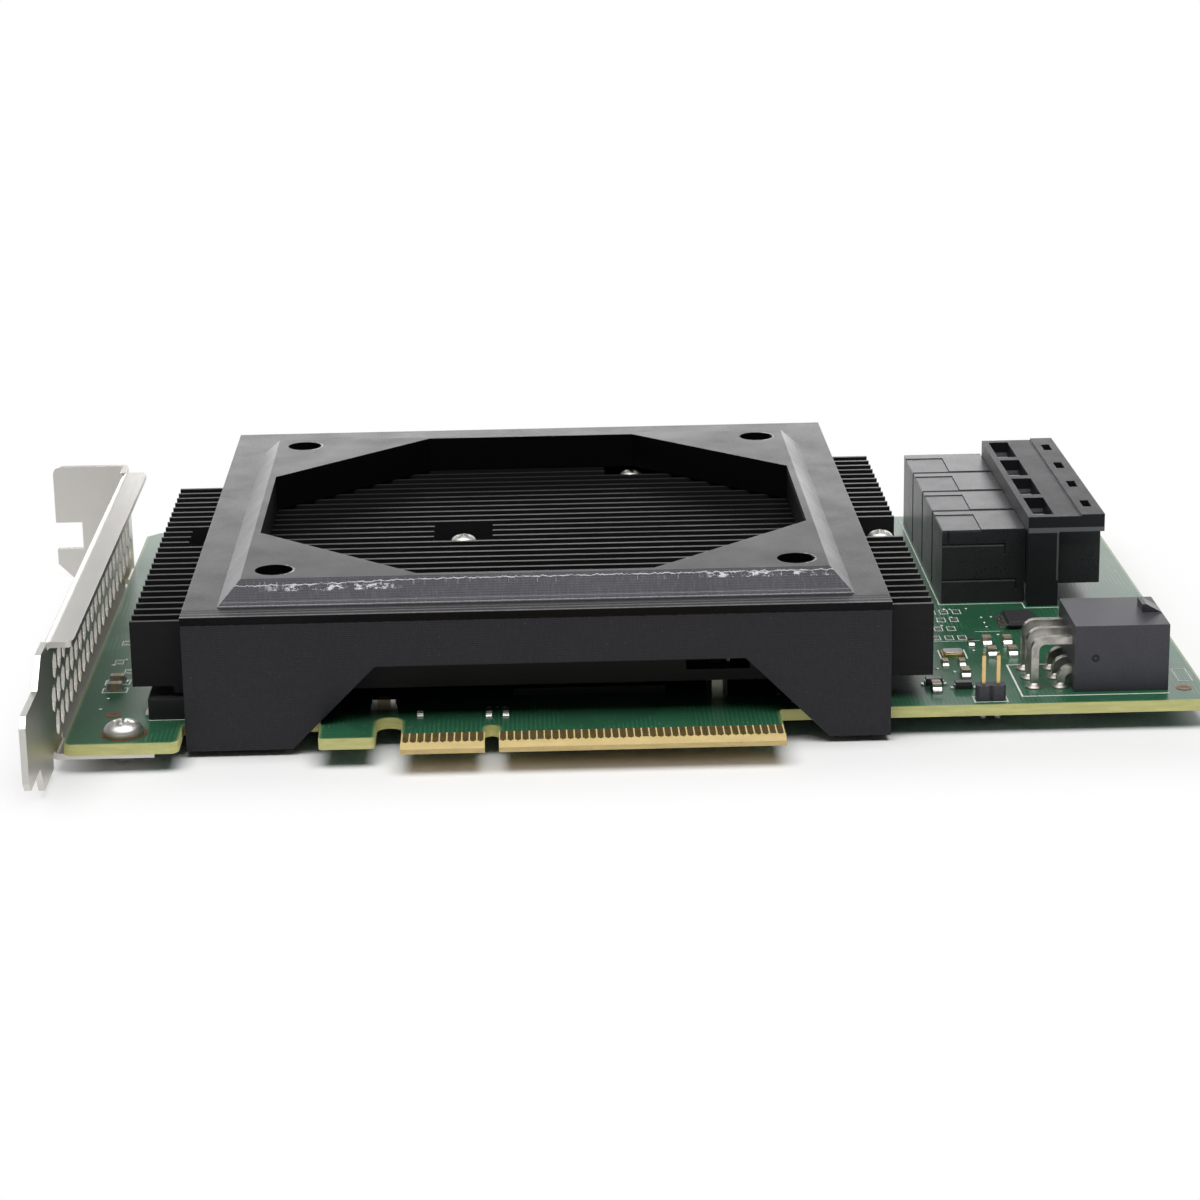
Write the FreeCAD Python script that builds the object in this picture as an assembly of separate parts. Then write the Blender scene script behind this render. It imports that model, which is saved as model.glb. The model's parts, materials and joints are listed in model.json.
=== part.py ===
import FreeCAD, Part
import math
import os

from FreeCAD import Vector

# Host bus adapter: a full-height expansion card with a vented bracket, a finned heatsink,
# a printed fan shroud, four ganged drive ports and a power inlet. Sizes are in millimetres.
# X runs from the bracket to the card's free end, Y from the edge contacts to the card's top
# edge, Z up out of the component side. The origin is at the middle of the key notch, at the
# tip of the edge contacts, on the solder face of the board.

# Circuit board and its edge contacts
board_thickness = 1.57
board_left = -57.15
board_rear = 111.15
board_front = 11.6
board_corner = 1.2
board_inner_corner = 0.8
board_chamfer = 2.0
bracket_tab_width = 15.3
tab_tip = 3.9
guide_tab_width = 7.55
guide_slot_width = 3.5
guide_slot_rise = 0.6
key_width = 1.9
key_depth = 7.9
bevel_run = 1.3
bevel_depth = 0.45
contact_pitch = 1.0
contact_width = 0.72
contact_thickness = 0.05
contact_rear = 5.1
contact_point = 0.5
contact_first = 1.5
contact_margin = 0.65
contacts_short_side = 11
contacts_long_side = 38
presence_contacts = (6, 20, 37)
presence_setback = 1.1
hole_clearance = 0.15

# Mounting bracket, one folded sheet
bracket_thickness = 0.86
bracket_gap = 1.2
bracket_width = 18.42
bracket_low = -2.6
bracket_front_low = -1.5
bracket_tip = -17.4
bracket_length = 118.62
bracket_tab_length = 11.4
bracket_bend = 0.5
tongue_width = 10.0
tongue_low = 2.4
tongue_length = 11.3
tongue_taper = 1.3
shoulder_run = 4.8
step_setback = 1.9
step_run = 2.8
flange_width = 4.25
flange_front = 4.5
flange_end_gap = 4.6
flange_round = 1.1
tab_slot_width = 4.42
tab_slot_depth = 4.2
tab_slot_low = 6.6
tab_chamfer = 2.3
tab_round = 1.3
ear_width = 6.4
ear_reach = 13.2
ear_front = 5.0
ear_rear_gap = 4.96
ear_relief = 1.6
vent_radius = 1.95
vent_pitch = 4.56
vent_rows = 3
vent_first_y = 9.6
vent_first_z = 3.1
vent_end_gap = 4.0

# Bracket screws
bracket_screw_radius = 1.45
bracket_head_radius = 2.75
bracket_head_height = 1.9
bracket_screw_end = 1.2
head_top_share = 0.82
recess_length = 3.3
recess_width = 0.85
recess_depth = 0.85

# Heatsink and what holds it
chip_height = 2.9
pad_thickness = 0.43
heatsink_inset = 8.35
heatsink_front_gap = 3.5
heatsink_length = 109.3
heatsink_rear_gap = 12.0
base_thickness = 1.6
fin_height = 8.6
fin_thickness = 0.65
fin_pitch = 2.87
short_fin_count = 4
short_fin_inset = 12.8
relief_length = 5.6
relief_depth = 1.0
pocket_width = 8.7
pocket_fins = 3
screw_shank_radius = 1.0
screw_head_radius = 2.0
screw_head_height = 1.6
spring_length = 6.4
spring_wire = 0.45
spring_radius = 1.85
spring_turns = 3
spring_steps = 6
standoff_radius = 1.5
standoff_floor = 0.6
thread_clearance = 0.05
left_screw_x = -40.15
centre_screw_x = -4.05
rear_screw_x = 22.35
front_screw_x = 31.0
right_screw_inset = 2.7
middle_screw_y = 58.5
right_screw_y = 55.7
rear_screw_y = 95.6
front_screw_y = 18.0
controller_size = 25.0
bridge_size = 21.0
lid_inset = 2.4
substrate_height = 1.1

# Printed fan shroud
fan_size = 80.0
fan_hole_spacing = 71.5
fan_hole_radius = 2.6
fan_rim = 1.0
fan_centre_y = 56.45
deck_seat = 0.1
deck_thickness = 2.1
plateau_rise = 3.1
slope_run = 3.05
shroud_wall = 2.0
shroud_clearance = 0.1
lip_reach = 0.6
lip_height = 1.1
leg_drop = 1.7
hook_reach = 1.2
foot_clearance = 0.5
cutout_top = 9.7
cutout_end_gap = 6.65
right_foot = 8.3

# Ganged drive ports
port_count = 4
port_pitch = 11.9
port_heatsink_gap = 7.2
port_rear_gap = 3.7
port_body_gap = 0.5
port_body_length = 12.5
port_body_height = 11.4
port_body_shift = 2.0
port_label_length = 5.9
port_label_width = 8.8
port_label_depth = 0.3
nose_length = 11.1
nose_gap = 1.9
nose_lift = 3.1
nose_wall = 0.75
socket_depth = 8.2
contact_block_length = 3.6
contact_slot_spacing = 2.76
contact_slot_height = 1.3
contact_slot_depth = 2.8
contact_slot_inset = 1.3
cover_thickness = 2.4
cover_front_step = 0.25
cover_front_strip = 3.5
cover_overhang = 0.35
cover_wall = 1.35
cover_wall_length = 4.6
cover_fit = 0.05
window_length = 3.1
window_inset = 0.9
window_depth = 0.9
latch_slot_length = 3.7
latch_slot_width = 1.35
latch_slot_inset = 1.15
groove_width = 0.25
groove_depth = 0.25
groove_hook = 1.5
upper_groove_drop = 2.5
upper_groove_length = 9.6
lower_groove_rise = 3.4
lower_groove_length = 11.4
corner_groove_inset = 0.8
port_edge_margin = 7.2

# Power inlet
power_pitch = 4.2
power_columns = 3
power_rows = 2
power_border = 0.45
power_length = 13.0
power_height = 9.43
power_edge_margin = 5.3
power_front_gap = 4.6
power_pocket = 3.3
power_pocket_depth = 10.0
power_pocket_chamfer = 0.7
power_pin_size = 1.07
power_pin_bend = 0.9
power_pin_inside = 7.0
power_leg_near = 1.5
power_leg_spacing = 3.65
pin_tip_drop = 1.1
pin_clearance = 0.05
power_latch_length = 2.8
power_latch_width = 3.6
power_latch_height = 1.25
power_latch_flat = 0.6
power_latch_shift = 0.75

# Jumper header
jumper_pitch = 2.0
jumper_pins = 2
jumper_base_height = 2.2
jumper_corner = 0.35
jumper_pin_size = 0.5
jumper_pin_height = 4.1
jumper_pin_point = 0.4
jumper_edge_inset = 30.2
jumper_front_gap = 2.4

# Small parts on the board, measured from its right-hand edge and its front edge
chip_edge_inset = 20.8
chip_front_gap = 37.4
chip_width = 4.4
chip_length = 6.5
chip_body_height = 1.1
chip_lift = 0.1
chip_draft = 0.3
chip_lead_pitch = 0.65
chip_leads_per_side = 10
chip_lead_width = 0.26
chip_lead_thickness = 0.18
chip_lead_reach = 1.0
chip_lead_foot = 0.5
crystal_edge_inset = 32.6
crystal_front_gap = 22.8
crystal_length = 3.2
crystal_width = 2.5
crystal_base_height = 0.4
crystal_lid_height = 0.3
crystal_rim = 0.25
choke_size = 6.6
choke_height = 2.8
choke_left_gap = 10.4
choke_front_gap = 2.1
choke_bevel = 0.5
diode_length = 2.3
diode_width = 1.5
diode_height = 1.0
diode_draft = 0.18
diode_jumper_gap = 3.0
diode_front_gap = 7.6
diode_pitch = 3.85
diode_stagger = 1.9
terminal_share = 0.22
big_chip_length = 2.0
big_chip_width = 1.25
big_chip_height = 1.2
small_chip_length = 1.6
small_chip_width = 0.85
small_chip_height = 0.75
bulk_cap_length = 3.2
bulk_cap_width = 1.6
bulk_cap_height = 1.5
bulk_cap_shift = 0.9
bulk_cap_gap = 4.7
cap_grid_inset = 27.05
cap_grid_gap = 22.4
cap_grid_pitch_x = 2.95
cap_grid_pitch_y = 5.3
load_cap_gap = 4.4
load_cap_spacing = 2.4
load_cap_shift = 0.5
filter_cap_inset = 32.2
filter_cap_gap = 12.9
diode_cap_gap = 2.6
left_cap_inset = 4.3
left_cap_gap = 15.5
left_cap_pitch = 3.6
edge_resistor_inset = 2.4
edge_resistor_gap = 1.6
key_resistor_shift = 0.75
key_resistor_spacing = 2.3
key_resistor_gap = 0.9
link_resistor_inset = 29.3
link_resistor_gap = 27.8

# Places that follow from the sizes above
board_top = board_thickness
tongue_left = -(contact_first + (contacts_short_side - 1) * contact_pitch + contact_margin)
tongue_right = contact_first + (contacts_long_side - 1) * contact_pitch + contact_margin
guide_slot_left = tongue_left - guide_slot_width
guide_tab_left = guide_slot_left - guide_tab_width
tab_right = board_left + bracket_tab_width

heatsink_left = board_left + heatsink_inset
heatsink_right = heatsink_left + heatsink_length
heatsink_front = board_front + heatsink_front_gap
heatsink_low = board_top + chip_height + pad_thickness
base_top = heatsink_low + base_thickness
fin_top = base_top + fin_height
fin_room = board_rear - heatsink_rear_gap - heatsink_front - fin_thickness
fin_count = int(fin_room / fin_pitch) + 1
heatsink_rear = heatsink_front + (fin_count - 1) * fin_pitch + fin_thickness
screw_head_low = base_top + spring_length

port_left = heatsink_right + port_heatsink_gap
port_front = port_left + port_body_length + nose_length
board_right = port_front + port_edge_margin
port_top = board_top + port_body_height
port_body_width = port_pitch - port_body_gap
nose_width = port_pitch - nose_gap
port_last_y = board_rear - port_rear_gap - port_body_width / 2 - port_body_shift
port_first_y = port_last_y - (port_count - 1) * port_pitch

deck_low = fin_top + deck_seat
deck_top = deck_low + deck_thickness
plateau_top = deck_top + plateau_rise
shroud_left = tab_right + foot_clearance
cutout_right = tongue_right + cutout_end_gap
shroud_right = cutout_right + right_foot
fan_centre_x = (shroud_left + shroud_right) / 2
wall_front_inner = board_front - shroud_clearance
wall_rear_inner = board_rear + shroud_clearance

bracket_inner = board_left - bracket_gap
bracket_outer = bracket_inner - bracket_thickness
bracket_top = bracket_low + bracket_width
bracket_tab_y = bracket_tip + bracket_length - bracket_thickness
ear_places = (ear_front, bracket_tab_y - ear_rear_gap - ear_width)
ear_screw_x = board_left + bracket_tab_width / 2
ear_screws = [(ear_screw_x, low + ear_width / 2) for low in ear_places]

power_left = board_right - power_edge_margin - power_length
power_width = power_columns * power_pitch + 2 * power_border
power_low_y = board_front + power_front_gap
power_centre_y = power_low_y + power_width / 2
power_centre_z = board_top + power_height / 2

jumper_centre_x = board_right - jumper_edge_inset
jumper_centre_y = board_front + jumper_front_gap
chip_x = board_right - chip_edge_inset
chip_y = board_front + chip_front_gap
crystal_x = board_right - crystal_edge_inset
crystal_y = board_front + crystal_front_gap

# The plane of an outline and the way it is drawn out, by the axis that it is drawn along
PLANES = {
    "x": (Vector(0, 1, 0), Vector(0, 0, 1), Vector(1, 0, 0)),
    "y": (Vector(1, 0, 0), Vector(0, 0, 1), Vector(0, 1, 0)),
    "z": (Vector(1, 0, 0), Vector(0, 1, 0), Vector(0, 0, 1)),
}


def corner_arc(before, corner, after, radius):
    """Start, middle and end of the arc that rounds a corner."""
    back = (before - corner).normalize()
    ahead = (after - corner).normalize()
    half_angle = back.getAngle(ahead) / 2
    run = radius / math.tan(half_angle)
    inward = (back + ahead).normalize()
    centre = corner + inward * (radius / math.sin(half_angle))
    return corner + back * run, centre - inward * radius, corner + ahead * run


def outline(corners, axis, level):
    """Closed wire through corners given as (u, v) or (u, v, radius)."""
    u_way, v_way, normal = PLANES[axis]
    points = [u_way * c[0] + v_way * c[1] + normal * level for c in corners]
    radii = [c[2] if len(c) > 2 else 0 for c in corners]
    spans = []
    for i, point in enumerate(points):
        if radii[i] > 0:
            spans.append(corner_arc(points[i - 1], point, points[(i + 1) % len(points)], radii[i]))
        else:
            spans.append((point, None, point))
    edges = []
    for i, (start, middle, end) in enumerate(spans):
        if middle is not None:
            edges.append(Part.Arc(start, middle, end).toShape())
        following = spans[(i + 1) % len(spans)][0]
        if end.distanceToPoint(following) > 1e-6:
            edges.append(Part.LineSegment(end, following).toShape())
    return Part.Wire(edges)


def prism(corners, axis, low, high):
    """Solid with the given outline, drawn along an axis from low to high."""
    face = Part.Face(outline(corners, axis, low))
    return face.extrude(PLANES[axis][2] * (high - low))


def block(x_span, y_span, z_span):
    """Box between two limits along each axis."""
    corner = Vector(x_span[0], y_span[0], z_span[0])
    return Part.makeBox(x_span[1] - x_span[0], y_span[1] - y_span[0], z_span[1] - z_span[0], corner)


def about(centre, size):
    """Limits of a span of a given size about its centre."""
    return centre - size / 2, centre + size / 2


def rod(x, y, low, high, radius):
    """Upright cylinder."""
    return Part.makeCylinder(radius, high - low, Vector(x, y, low))


def polygon(u, v, radius, sides, start):
    """Corners of a regular polygon whose first corner is at an angle in degrees."""
    corners = []
    for i in range(sides):
        angle = math.radians(start + 360 * i / sides)
        corners.append((u + radius * math.cos(angle), v + radius * math.sin(angle)))
    return corners


def shank_hole(x, y, low, high, radius):
    """Eight-sided hole that clears a screw's shank of a given radius."""
    corner_radius = radius / math.cos(math.pi / 8)
    return prism(polygon(x, y, corner_radius, 8, 22.5), "z", low, high)


def cut_corners(body, size):
    """A block with its four upright edges cut off."""
    upright = [edge for edge in body.Edges if abs(edge.tangentAt(0).z) > 0.9]
    return body.makeChamfer(size, upright)


def join(solids):
    """One solid from pieces that touch or overlap."""
    return solids[0].multiFuse(solids[1:]).removeSplitter()


def export(name, *solids):
    """Write one named piece, or a group of like pieces, to its own file."""
    for solid in solids:
        assert solid.isValid() and solid.Volume > 0, name
    shape = solids[0] if len(solids) == 1 else Part.makeCompound(list(solids))
    shape.exportStep("parts/" + name + ".step")


def contact_places():
    """Middles of the edge contacts, on both sides of the key notch."""
    short_side = [-contact_first - i * contact_pitch for i in range(contacts_short_side)]
    long_side = [contact_first + i * contact_pitch for i in range(contacts_long_side)]
    return short_side + long_side


def presence_places():
    """Middles of the front contacts that mate last, counted from the key notch."""
    return [contact_first + (count - 1) * contact_pitch for count in presence_contacts]


def heatsink_screws():
    """Places of the heatsink's screws, each in the middle of its pocket's fins."""
    wanted = [
        (left_screw_x, middle_screw_y),
        (centre_screw_x, middle_screw_y),
        (heatsink_right - right_screw_inset, right_screw_y),
        (rear_screw_x, rear_screw_y),
        (front_screw_x, front_screw_y),
    ]
    places = []
    for x, y in wanted:
        fin = round((y - heatsink_front) / fin_pitch)
        fin = min(max(fin, 1), fin_count - 2)
        places.append((x, heatsink_front + fin * fin_pitch + fin_thickness / 2))
    return places


def power_pins():
    """Row, leg place and height of each power pin's line, with its column's place."""
    pins = []
    for row in range(power_rows):
        z = power_centre_z + (row - (power_rows - 1) / 2) * power_pitch
        leg_x = power_left - power_leg_near - row * power_leg_spacing
        for column in range(power_columns):
            y = power_centre_y + (column - (power_columns - 1) / 2) * power_pitch
            pins.append((leg_x, y, z))
    return pins


def jumper_places():
    """Middles of the jumper header's pins."""
    first = jumper_centre_x - (jumper_pins - 1) * jumper_pitch / 2
    return [first + i * jumper_pitch for i in range(jumper_pins)]


def circuit_board():
    """Laminate with its tabs, guide slot, bevelled contact tongue and holes."""
    slot_round = guide_slot_width / 2
    slot_top = board_front + guide_slot_rise
    key_round = key_width / 2
    plate = prism([
        (board_left, tab_tip, board_corner),
        (tab_right, tab_tip, board_corner),
        (tab_right, board_front, board_inner_corner),
        (guide_tab_left, board_front, board_inner_corner),
        (guide_tab_left, tab_tip, board_corner / 2),
        (guide_slot_left, tab_tip, board_corner / 2),
        (guide_slot_left, slot_top, slot_round),
        (tongue_left, slot_top, slot_round),
        (tongue_left, 0),
        (-key_round, 0),
        (-key_round, key_depth, key_round),
        (key_round, key_depth, key_round),
        (key_round, 0),
        (tongue_right, 0),
        (tongue_right, board_front, board_corner / 2),
        (board_right, board_front, board_corner),
        (board_right, board_rear, board_corner),
        (board_left + board_chamfer, board_rear),
        (board_left, board_rear - board_chamfer),
    ], "z", 0, board_thickness)
    cuts = []
    for face, inner in ((0, bevel_depth), (board_thickness, board_thickness - bevel_depth)):
        bevel = [(0, face), (bevel_run, face), (0, inner)]
        cuts.append(prism(bevel, "x", tongue_left, tongue_right))
    for x, y in ear_screws:
        cuts.append(rod(x, y, 0, board_thickness, bracket_screw_radius + hole_clearance))
    power_hole = power_pin_size + 2 * pin_clearance
    for x, y, z in power_pins():
        cuts.append(block(about(x, power_hole), about(y, power_hole), (0, board_thickness)))
    jumper_hole = jumper_pin_size + 2 * pin_clearance
    for x in jumper_places():
        cuts.append(block(about(x, jumper_hole), about(jumper_centre_y, jumper_hole), (0, board_thickness)))
    return plate.cut(Part.makeCompound(cuts))


def edge_contacts(low, high, set_back=()):
    """Gold contacts of one face, each pointed towards the bevel and some of them set back from it."""
    contacts = []
    for x in contact_places():
        left, right = about(x, contact_width)
        tip = bevel_run + (presence_setback if x in set_back else 0)
        contacts.append(prism([
            (x, tip), (right, tip + contact_point), (right, contact_rear),
            (left, contact_rear), (left, tip + contact_point),
        ], "z", low, high))
    return contacts


def bracket_face():
    """Flat of the bracket: tongue, shoulders, relief at the ears and a field of vents."""
    tongue_top = tongue_low + tongue_width
    tongue_root = bracket_tip + tongue_length
    step = tongue_root - step_setback
    bend_top = bracket_top - bracket_thickness - bracket_bend
    flange_rear = bracket_tab_y - flange_end_gap
    tab_start = bracket_tab_y - bracket_bend
    face = prism([
        (bracket_tip, tongue_low + tongue_taper),
        (bracket_tip + tongue_taper, tongue_low),
        (step, tongue_low),
        (step + step_run, bracket_front_low),
        (ear_front, bracket_front_low),
        (ear_front, bracket_low),
        (tab_start, bracket_low),
        (tab_start, bracket_top),
        (flange_rear, bracket_top),
        (flange_rear, bend_top),
        (flange_front, bend_top),
        (flange_front, bracket_top),
        (tongue_root + shoulder_run, bracket_top),
        (tongue_root, tongue_top),
        (bracket_tip + tongue_taper, tongue_top),
        (bracket_tip, tongue_top - tongue_taper),
    ], "x", bracket_outer, bracket_inner)
    cuts = [vent(y, z) for y, z in vent_places()]
    for low in ear_places:
        gap = (low - ear_relief, low + ear_width + ear_relief)
        cuts.append(block((bracket_outer, bracket_inner), gap, (bracket_low, bracket_bend)))
    return face.cut(Part.makeCompound(cuts))


def vent(y, z):
    """Six-sided vent hole through the bracket, with its points up and down."""
    return prism(polygon(y, z, vent_radius, 6, 90), "x", bracket_outer, bracket_inner)


def vent_places():
    """Middles of the vents, in rows that are offset by half a pitch."""
    places = []
    last_y = bracket_tab_y - vent_end_gap
    for row in range(vent_rows):
        z = vent_first_z + row * vent_pitch * math.sin(math.radians(60))
        y = vent_first_y - (row % 2) * vent_pitch / 2
        while y <= last_y:
            places.append((y, z))
            y += vent_pitch
    return places


def folded_strip(root, fold, end, side, up, axis, low, high):
    """Strip folded at a right angle: up from root to fold, then sideways to end.

    side is +1 or -1 for the way that the strip turns, and up is +1 or -1 for the way that
    it climbs. root is on the sheet's outer face and the bend is rounded on both sides.
    """
    u_outer, v_root = root
    inner_u = u_outer + side * bracket_thickness
    inner_v = fold - up * bracket_thickness
    outer_bend = bracket_bend + bracket_thickness
    return prism([
        (u_outer, v_root),
        (u_outer, fold, outer_bend),
        (end, fold),
        (end, inner_v),
        (inner_u, inner_v, bracket_bend),
        (inner_u, v_root),
    ], axis, low, high)


def top_flange():
    """Stiffening flange folded in along the bracket's upper edge, with rounded corners."""
    low = bracket_top - bracket_thickness - bracket_bend
    reach = bracket_outer + flange_width
    rear = bracket_tab_y - flange_end_gap
    strip = folded_strip((bracket_outer, low), bracket_top, reach, 1, 1, "y", flange_front, rear)
    plan = prism([
        (bracket_outer, flange_front),
        (reach, flange_front, flange_round),
        (reach, rear, flange_round),
        (bracket_outer, rear),
    ], "z", low, bracket_top)
    return strip.common(plan)


def screw_tab():
    """Tab folded out at the bracket's far end, with its open screw slot."""
    reach = bracket_outer - bracket_tab_length
    rear = bracket_tab_y + bracket_thickness
    root_y = bracket_tab_y - bracket_bend
    tab = folded_strip((bracket_inner, root_y), rear, reach, -1, 1, "z", bracket_low, bracket_top)
    slot_end = reach + tab_slot_depth
    slot_high = tab_slot_low
    slot_low = slot_high - tab_slot_width
    shape = prism([
        (reach, bracket_low + tab_chamfer),
        (reach + tab_chamfer, bracket_low),
        (bracket_inner, bracket_low),
        (bracket_inner, bracket_top),
        (reach, bracket_top, tab_round),
        (reach, slot_high),
        (slot_end, slot_high),
        (slot_end, slot_low),
        (reach, slot_low),
    ], "y", root_y, rear)
    return tab.common(shape)


def ear(low):
    """Ear folded under the board for a bracket screw."""
    root = (bracket_outer, bracket_bend)
    reach = bracket_inner + ear_reach
    return folded_strip(root, -bracket_thickness, reach, 1, -1, "y", low, low + ear_width)


def mounting_bracket():
    """The whole folded bracket."""
    pieces = [bracket_face(), top_flange(), screw_tab()] + [ear(low) for low in ear_places]
    bore = bracket_screw_radius + thread_clearance
    holes = [rod(x, y, -bracket_thickness, 0, bore) for x, y in ear_screws]
    return join(pieces).cut(Part.makeCompound(holes))


def tapered_screw(x, y, seat, tip, shank_radius, head_radius, head_height):
    """Screw with a tapered head that stands on its seat."""
    head = Part.makeCone(head_radius, head_radius * head_top_share, head_height, Vector(x, y, seat))
    return join([head, rod(x, y, tip, seat, shank_radius)])


def bracket_screw(x, y):
    """Screw that clamps the board to a bracket ear, with a cross recess."""
    tip = -bracket_thickness - bracket_screw_end
    sizes = (bracket_screw_radius, bracket_head_radius, bracket_head_height)
    screw = tapered_screw(x, y, board_top, tip, *sizes)
    top = board_top + bracket_head_height
    depth = (top - recess_depth, top)
    slots = []
    for side_x, side_y in ((recess_length, recess_width), (recess_width, recess_length)):
        slots.append(block(about(x, side_x), about(y, side_y), depth))
    return screw.cut(join(slots))


def heatsink():
    """Black fins on a thin base, with pockets for the sprung screws."""
    corner_y = heatsink_front + (fin_count - short_fin_count) * fin_pitch - fin_pitch / 2
    corner_x = heatsink_left + short_fin_inset
    base = prism([
        (heatsink_left, heatsink_front),
        (heatsink_right, heatsink_front),
        (heatsink_right, heatsink_rear),
        (corner_x, heatsink_rear),
        (corner_x, corner_y),
        (heatsink_left, corner_y),
    ], "z", heatsink_low, base_top)
    fins = []
    for i in range(fin_count):
        y = heatsink_front + i * fin_pitch
        left = corner_x if i >= fin_count - short_fin_count else heatsink_left
        fins.append(block((left, heatsink_right), (y, y + fin_thickness), (base_top, fin_top)))
    pocket_depth = pocket_fins * fin_pitch
    cuts = []
    for x, y in heatsink_screws():
        pocket = (about(x, pocket_width), about(y, pocket_depth), (base_top, fin_top))
        cuts.append(block(*pocket))
        cuts.append(shank_hole(x, y, heatsink_low, base_top, screw_shank_radius + hole_clearance))
    relief = (heatsink_left, heatsink_left + relief_length)
    span = (heatsink_front, heatsink_rear)
    cuts.append(block(relief, span, (heatsink_low, heatsink_low + relief_depth)))
    return join([base] + fins).cut(Part.makeCompound(cuts))


def heatsink_screw(x, y):
    """Shoulder screw that pulls the heatsink down through its spring."""
    tip = board_top + standoff_floor + hole_clearance
    sizes = (screw_shank_radius, screw_head_radius, screw_head_height)
    return tapered_screw(x, y, screw_head_low, tip, *sizes)


def coil_spring(x, y):
    """Spring between the heatsink's base and a screw head, wound from square wire."""
    inner = spring_radius - spring_wire
    wire = outline([(inner, 0), (spring_radius, 0), (spring_radius, spring_wire), (inner, spring_wire)],
                   "y", 0)
    steps = spring_turns * spring_steps
    rise = spring_length - spring_wire
    sections = []
    for i in range(steps + 1):
        turn = FreeCAD.Rotation(Vector(0, 0, 1), 360 * i / spring_steps)
        section = wire.copy()
        section.Placement = FreeCAD.Placement(Vector(x, y, base_top + rise * i / steps), turn)
        sections.append(section)
    return Part.makeLoft(sections, True, True)


def standoff(x, y):
    """Six-sided tapped post between the board and the heatsink's base."""
    post = prism(polygon(x, y, standoff_radius, 6, 0), "z", board_top, heatsink_low)
    bore = screw_shank_radius + thread_clearance
    return post.cut(shank_hole(x, y, board_top + standoff_floor, heatsink_low, bore))


def processor(x, y, size):
    """Square processor: its carrier and the narrower lid that meets the pad."""
    carrier_span = (board_top, board_top + substrate_height)
    carrier = block(about(x, size), about(y, size), carrier_span)
    lid_size = size - 2 * lid_inset
    lid_span = (board_top + substrate_height, board_top + chip_height)
    lid = block(about(x, lid_size), about(y, lid_size), lid_span)
    return join([carrier, lid])


def thermal_pad(x, y, size):
    """Soft pad between a processor's lid and the heatsink's base."""
    side = size - 2 * lid_inset
    span = (board_top + chip_height, heatsink_low)
    return block(about(x, side), about(y, side), span)


def processor_places():
    """Name, place and size of each processor under the heatsink."""
    left, centre, right, rear, front = heatsink_screws()
    left_x = (left[0] + centre[0]) / 2
    right_x = right[0] - controller_size / 2 - 2 * screw_head_radius
    bridge_x = (centre[0] + front[0]) / 2
    bridge_y = (front[1] + right[1] - controller_size / 2) / 2
    return [
        ("controller_chip_1", left_x, left[1], controller_size),
        ("controller_chip_2", right_x, right[1] + controller_size / 2, controller_size),
        ("bridge_chip", bridge_x, bridge_y, bridge_size),
    ]


def square(side, level):
    """Square outline about the fan's middle."""
    low_x, high_x = about(fan_centre_x, side)
    low_y, high_y = about(fan_centre_y, side)
    return outline([(low_x, low_y), (high_x, low_y), (high_x, high_y), (low_x, high_y)], "z", level)


def shroud_section():
    """Section of the shroud across the card: deck, lips, walls and hooks under the board."""
    front, rear = wall_front_inner, wall_rear_inner
    front_outer = front - shroud_wall
    rear_outer = rear + shroud_wall
    return [
        (front_outer, -leg_drop),
        (front + hook_reach, -leg_drop),
        (front + hook_reach, -shroud_clearance),
        (front, -shroud_clearance),
        (front, deck_low),
        (rear, deck_low),
        (rear, -shroud_clearance),
        (rear - hook_reach, -shroud_clearance),
        (rear - hook_reach, -leg_drop),
        (rear_outer, -leg_drop),
        (rear_outer, deck_top - lip_height),
        (rear_outer + lip_reach, deck_top),
        (front_outer - lip_reach, deck_top),
        (front_outer, deck_top - lip_height),
    ]


def front_cutout():
    """Opening in the shroud's front wall for the slot that the card goes into."""
    rise = cutout_top + leg_drop
    left = guide_tab_left - foot_clearance - leg_drop - board_thickness
    corners = [
        (left, -leg_drop),
        (left + rise, cutout_top),
        (cutout_right - rise, cutout_top),
        (cutout_right, -leg_drop),
    ]
    return prism(corners, "y", wall_front_inner - shroud_wall, wall_front_inner + hook_reach)


def fan_shroud():
    """Printed shroud with a raised square for a fan and an eight-sided air opening."""
    channel = prism(shroud_section(), "x", shroud_left, shroud_right)
    foot = square(fan_size + 2 * slope_run, deck_top)
    plateau = Part.makeLoft([foot, square(fan_size, plateau_top)], True, True)
    opening_radius = (fan_size / 2 - fan_rim) / math.cos(math.pi / 8)
    opening = polygon(fan_centre_x, fan_centre_y, opening_radius, 8, 22.5)
    cuts = [front_cutout(), prism(opening, "z", deck_low, plateau_top)]
    for x in about(fan_centre_x, fan_hole_spacing):
        for y in about(fan_centre_y, fan_hole_spacing):
            cuts.append(rod(x, y, deck_low, plateau_top, fan_hole_radius))
    return join([channel, plateau]).cut(Part.makeCompound(cuts))


def port_places():
    """Middles of the ports across the card."""
    return [port_first_y + i * port_pitch for i in range(port_count)]


def drive_port(y):
    """One port: its rear body with a label recess and grooves, and a hollow raised nose."""
    body_y = about(y + port_body_shift, port_body_width)
    body_right = port_left + port_body_length
    body = block((port_left, body_right), body_y, (board_top, port_top))
    nose_low = board_top + nose_lift
    nose = block((body_right, port_front), about(y, nose_width), (nose_low, port_top))
    label = block((port_left, port_left + port_label_length),
                  (body_y[0], body_y[0] + port_label_width), (port_top - port_label_depth, port_top))
    socket = block((port_front - socket_depth, port_front), about(y, nose_width - 2 * nose_wall),
                   (nose_low + nose_wall, port_top - nose_wall))
    catch_left = body_right + window_inset
    catch = block((catch_left, catch_left + window_length - 2 * nose_wall),
                  about(y, nose_width - 4 * nose_wall), (port_top - window_depth, port_top))
    shell = join([body, nose]).cut(Part.makeCompound([label, socket, catch]))
    return shell.cut(join(side_grooves(body_y[0])))


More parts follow.
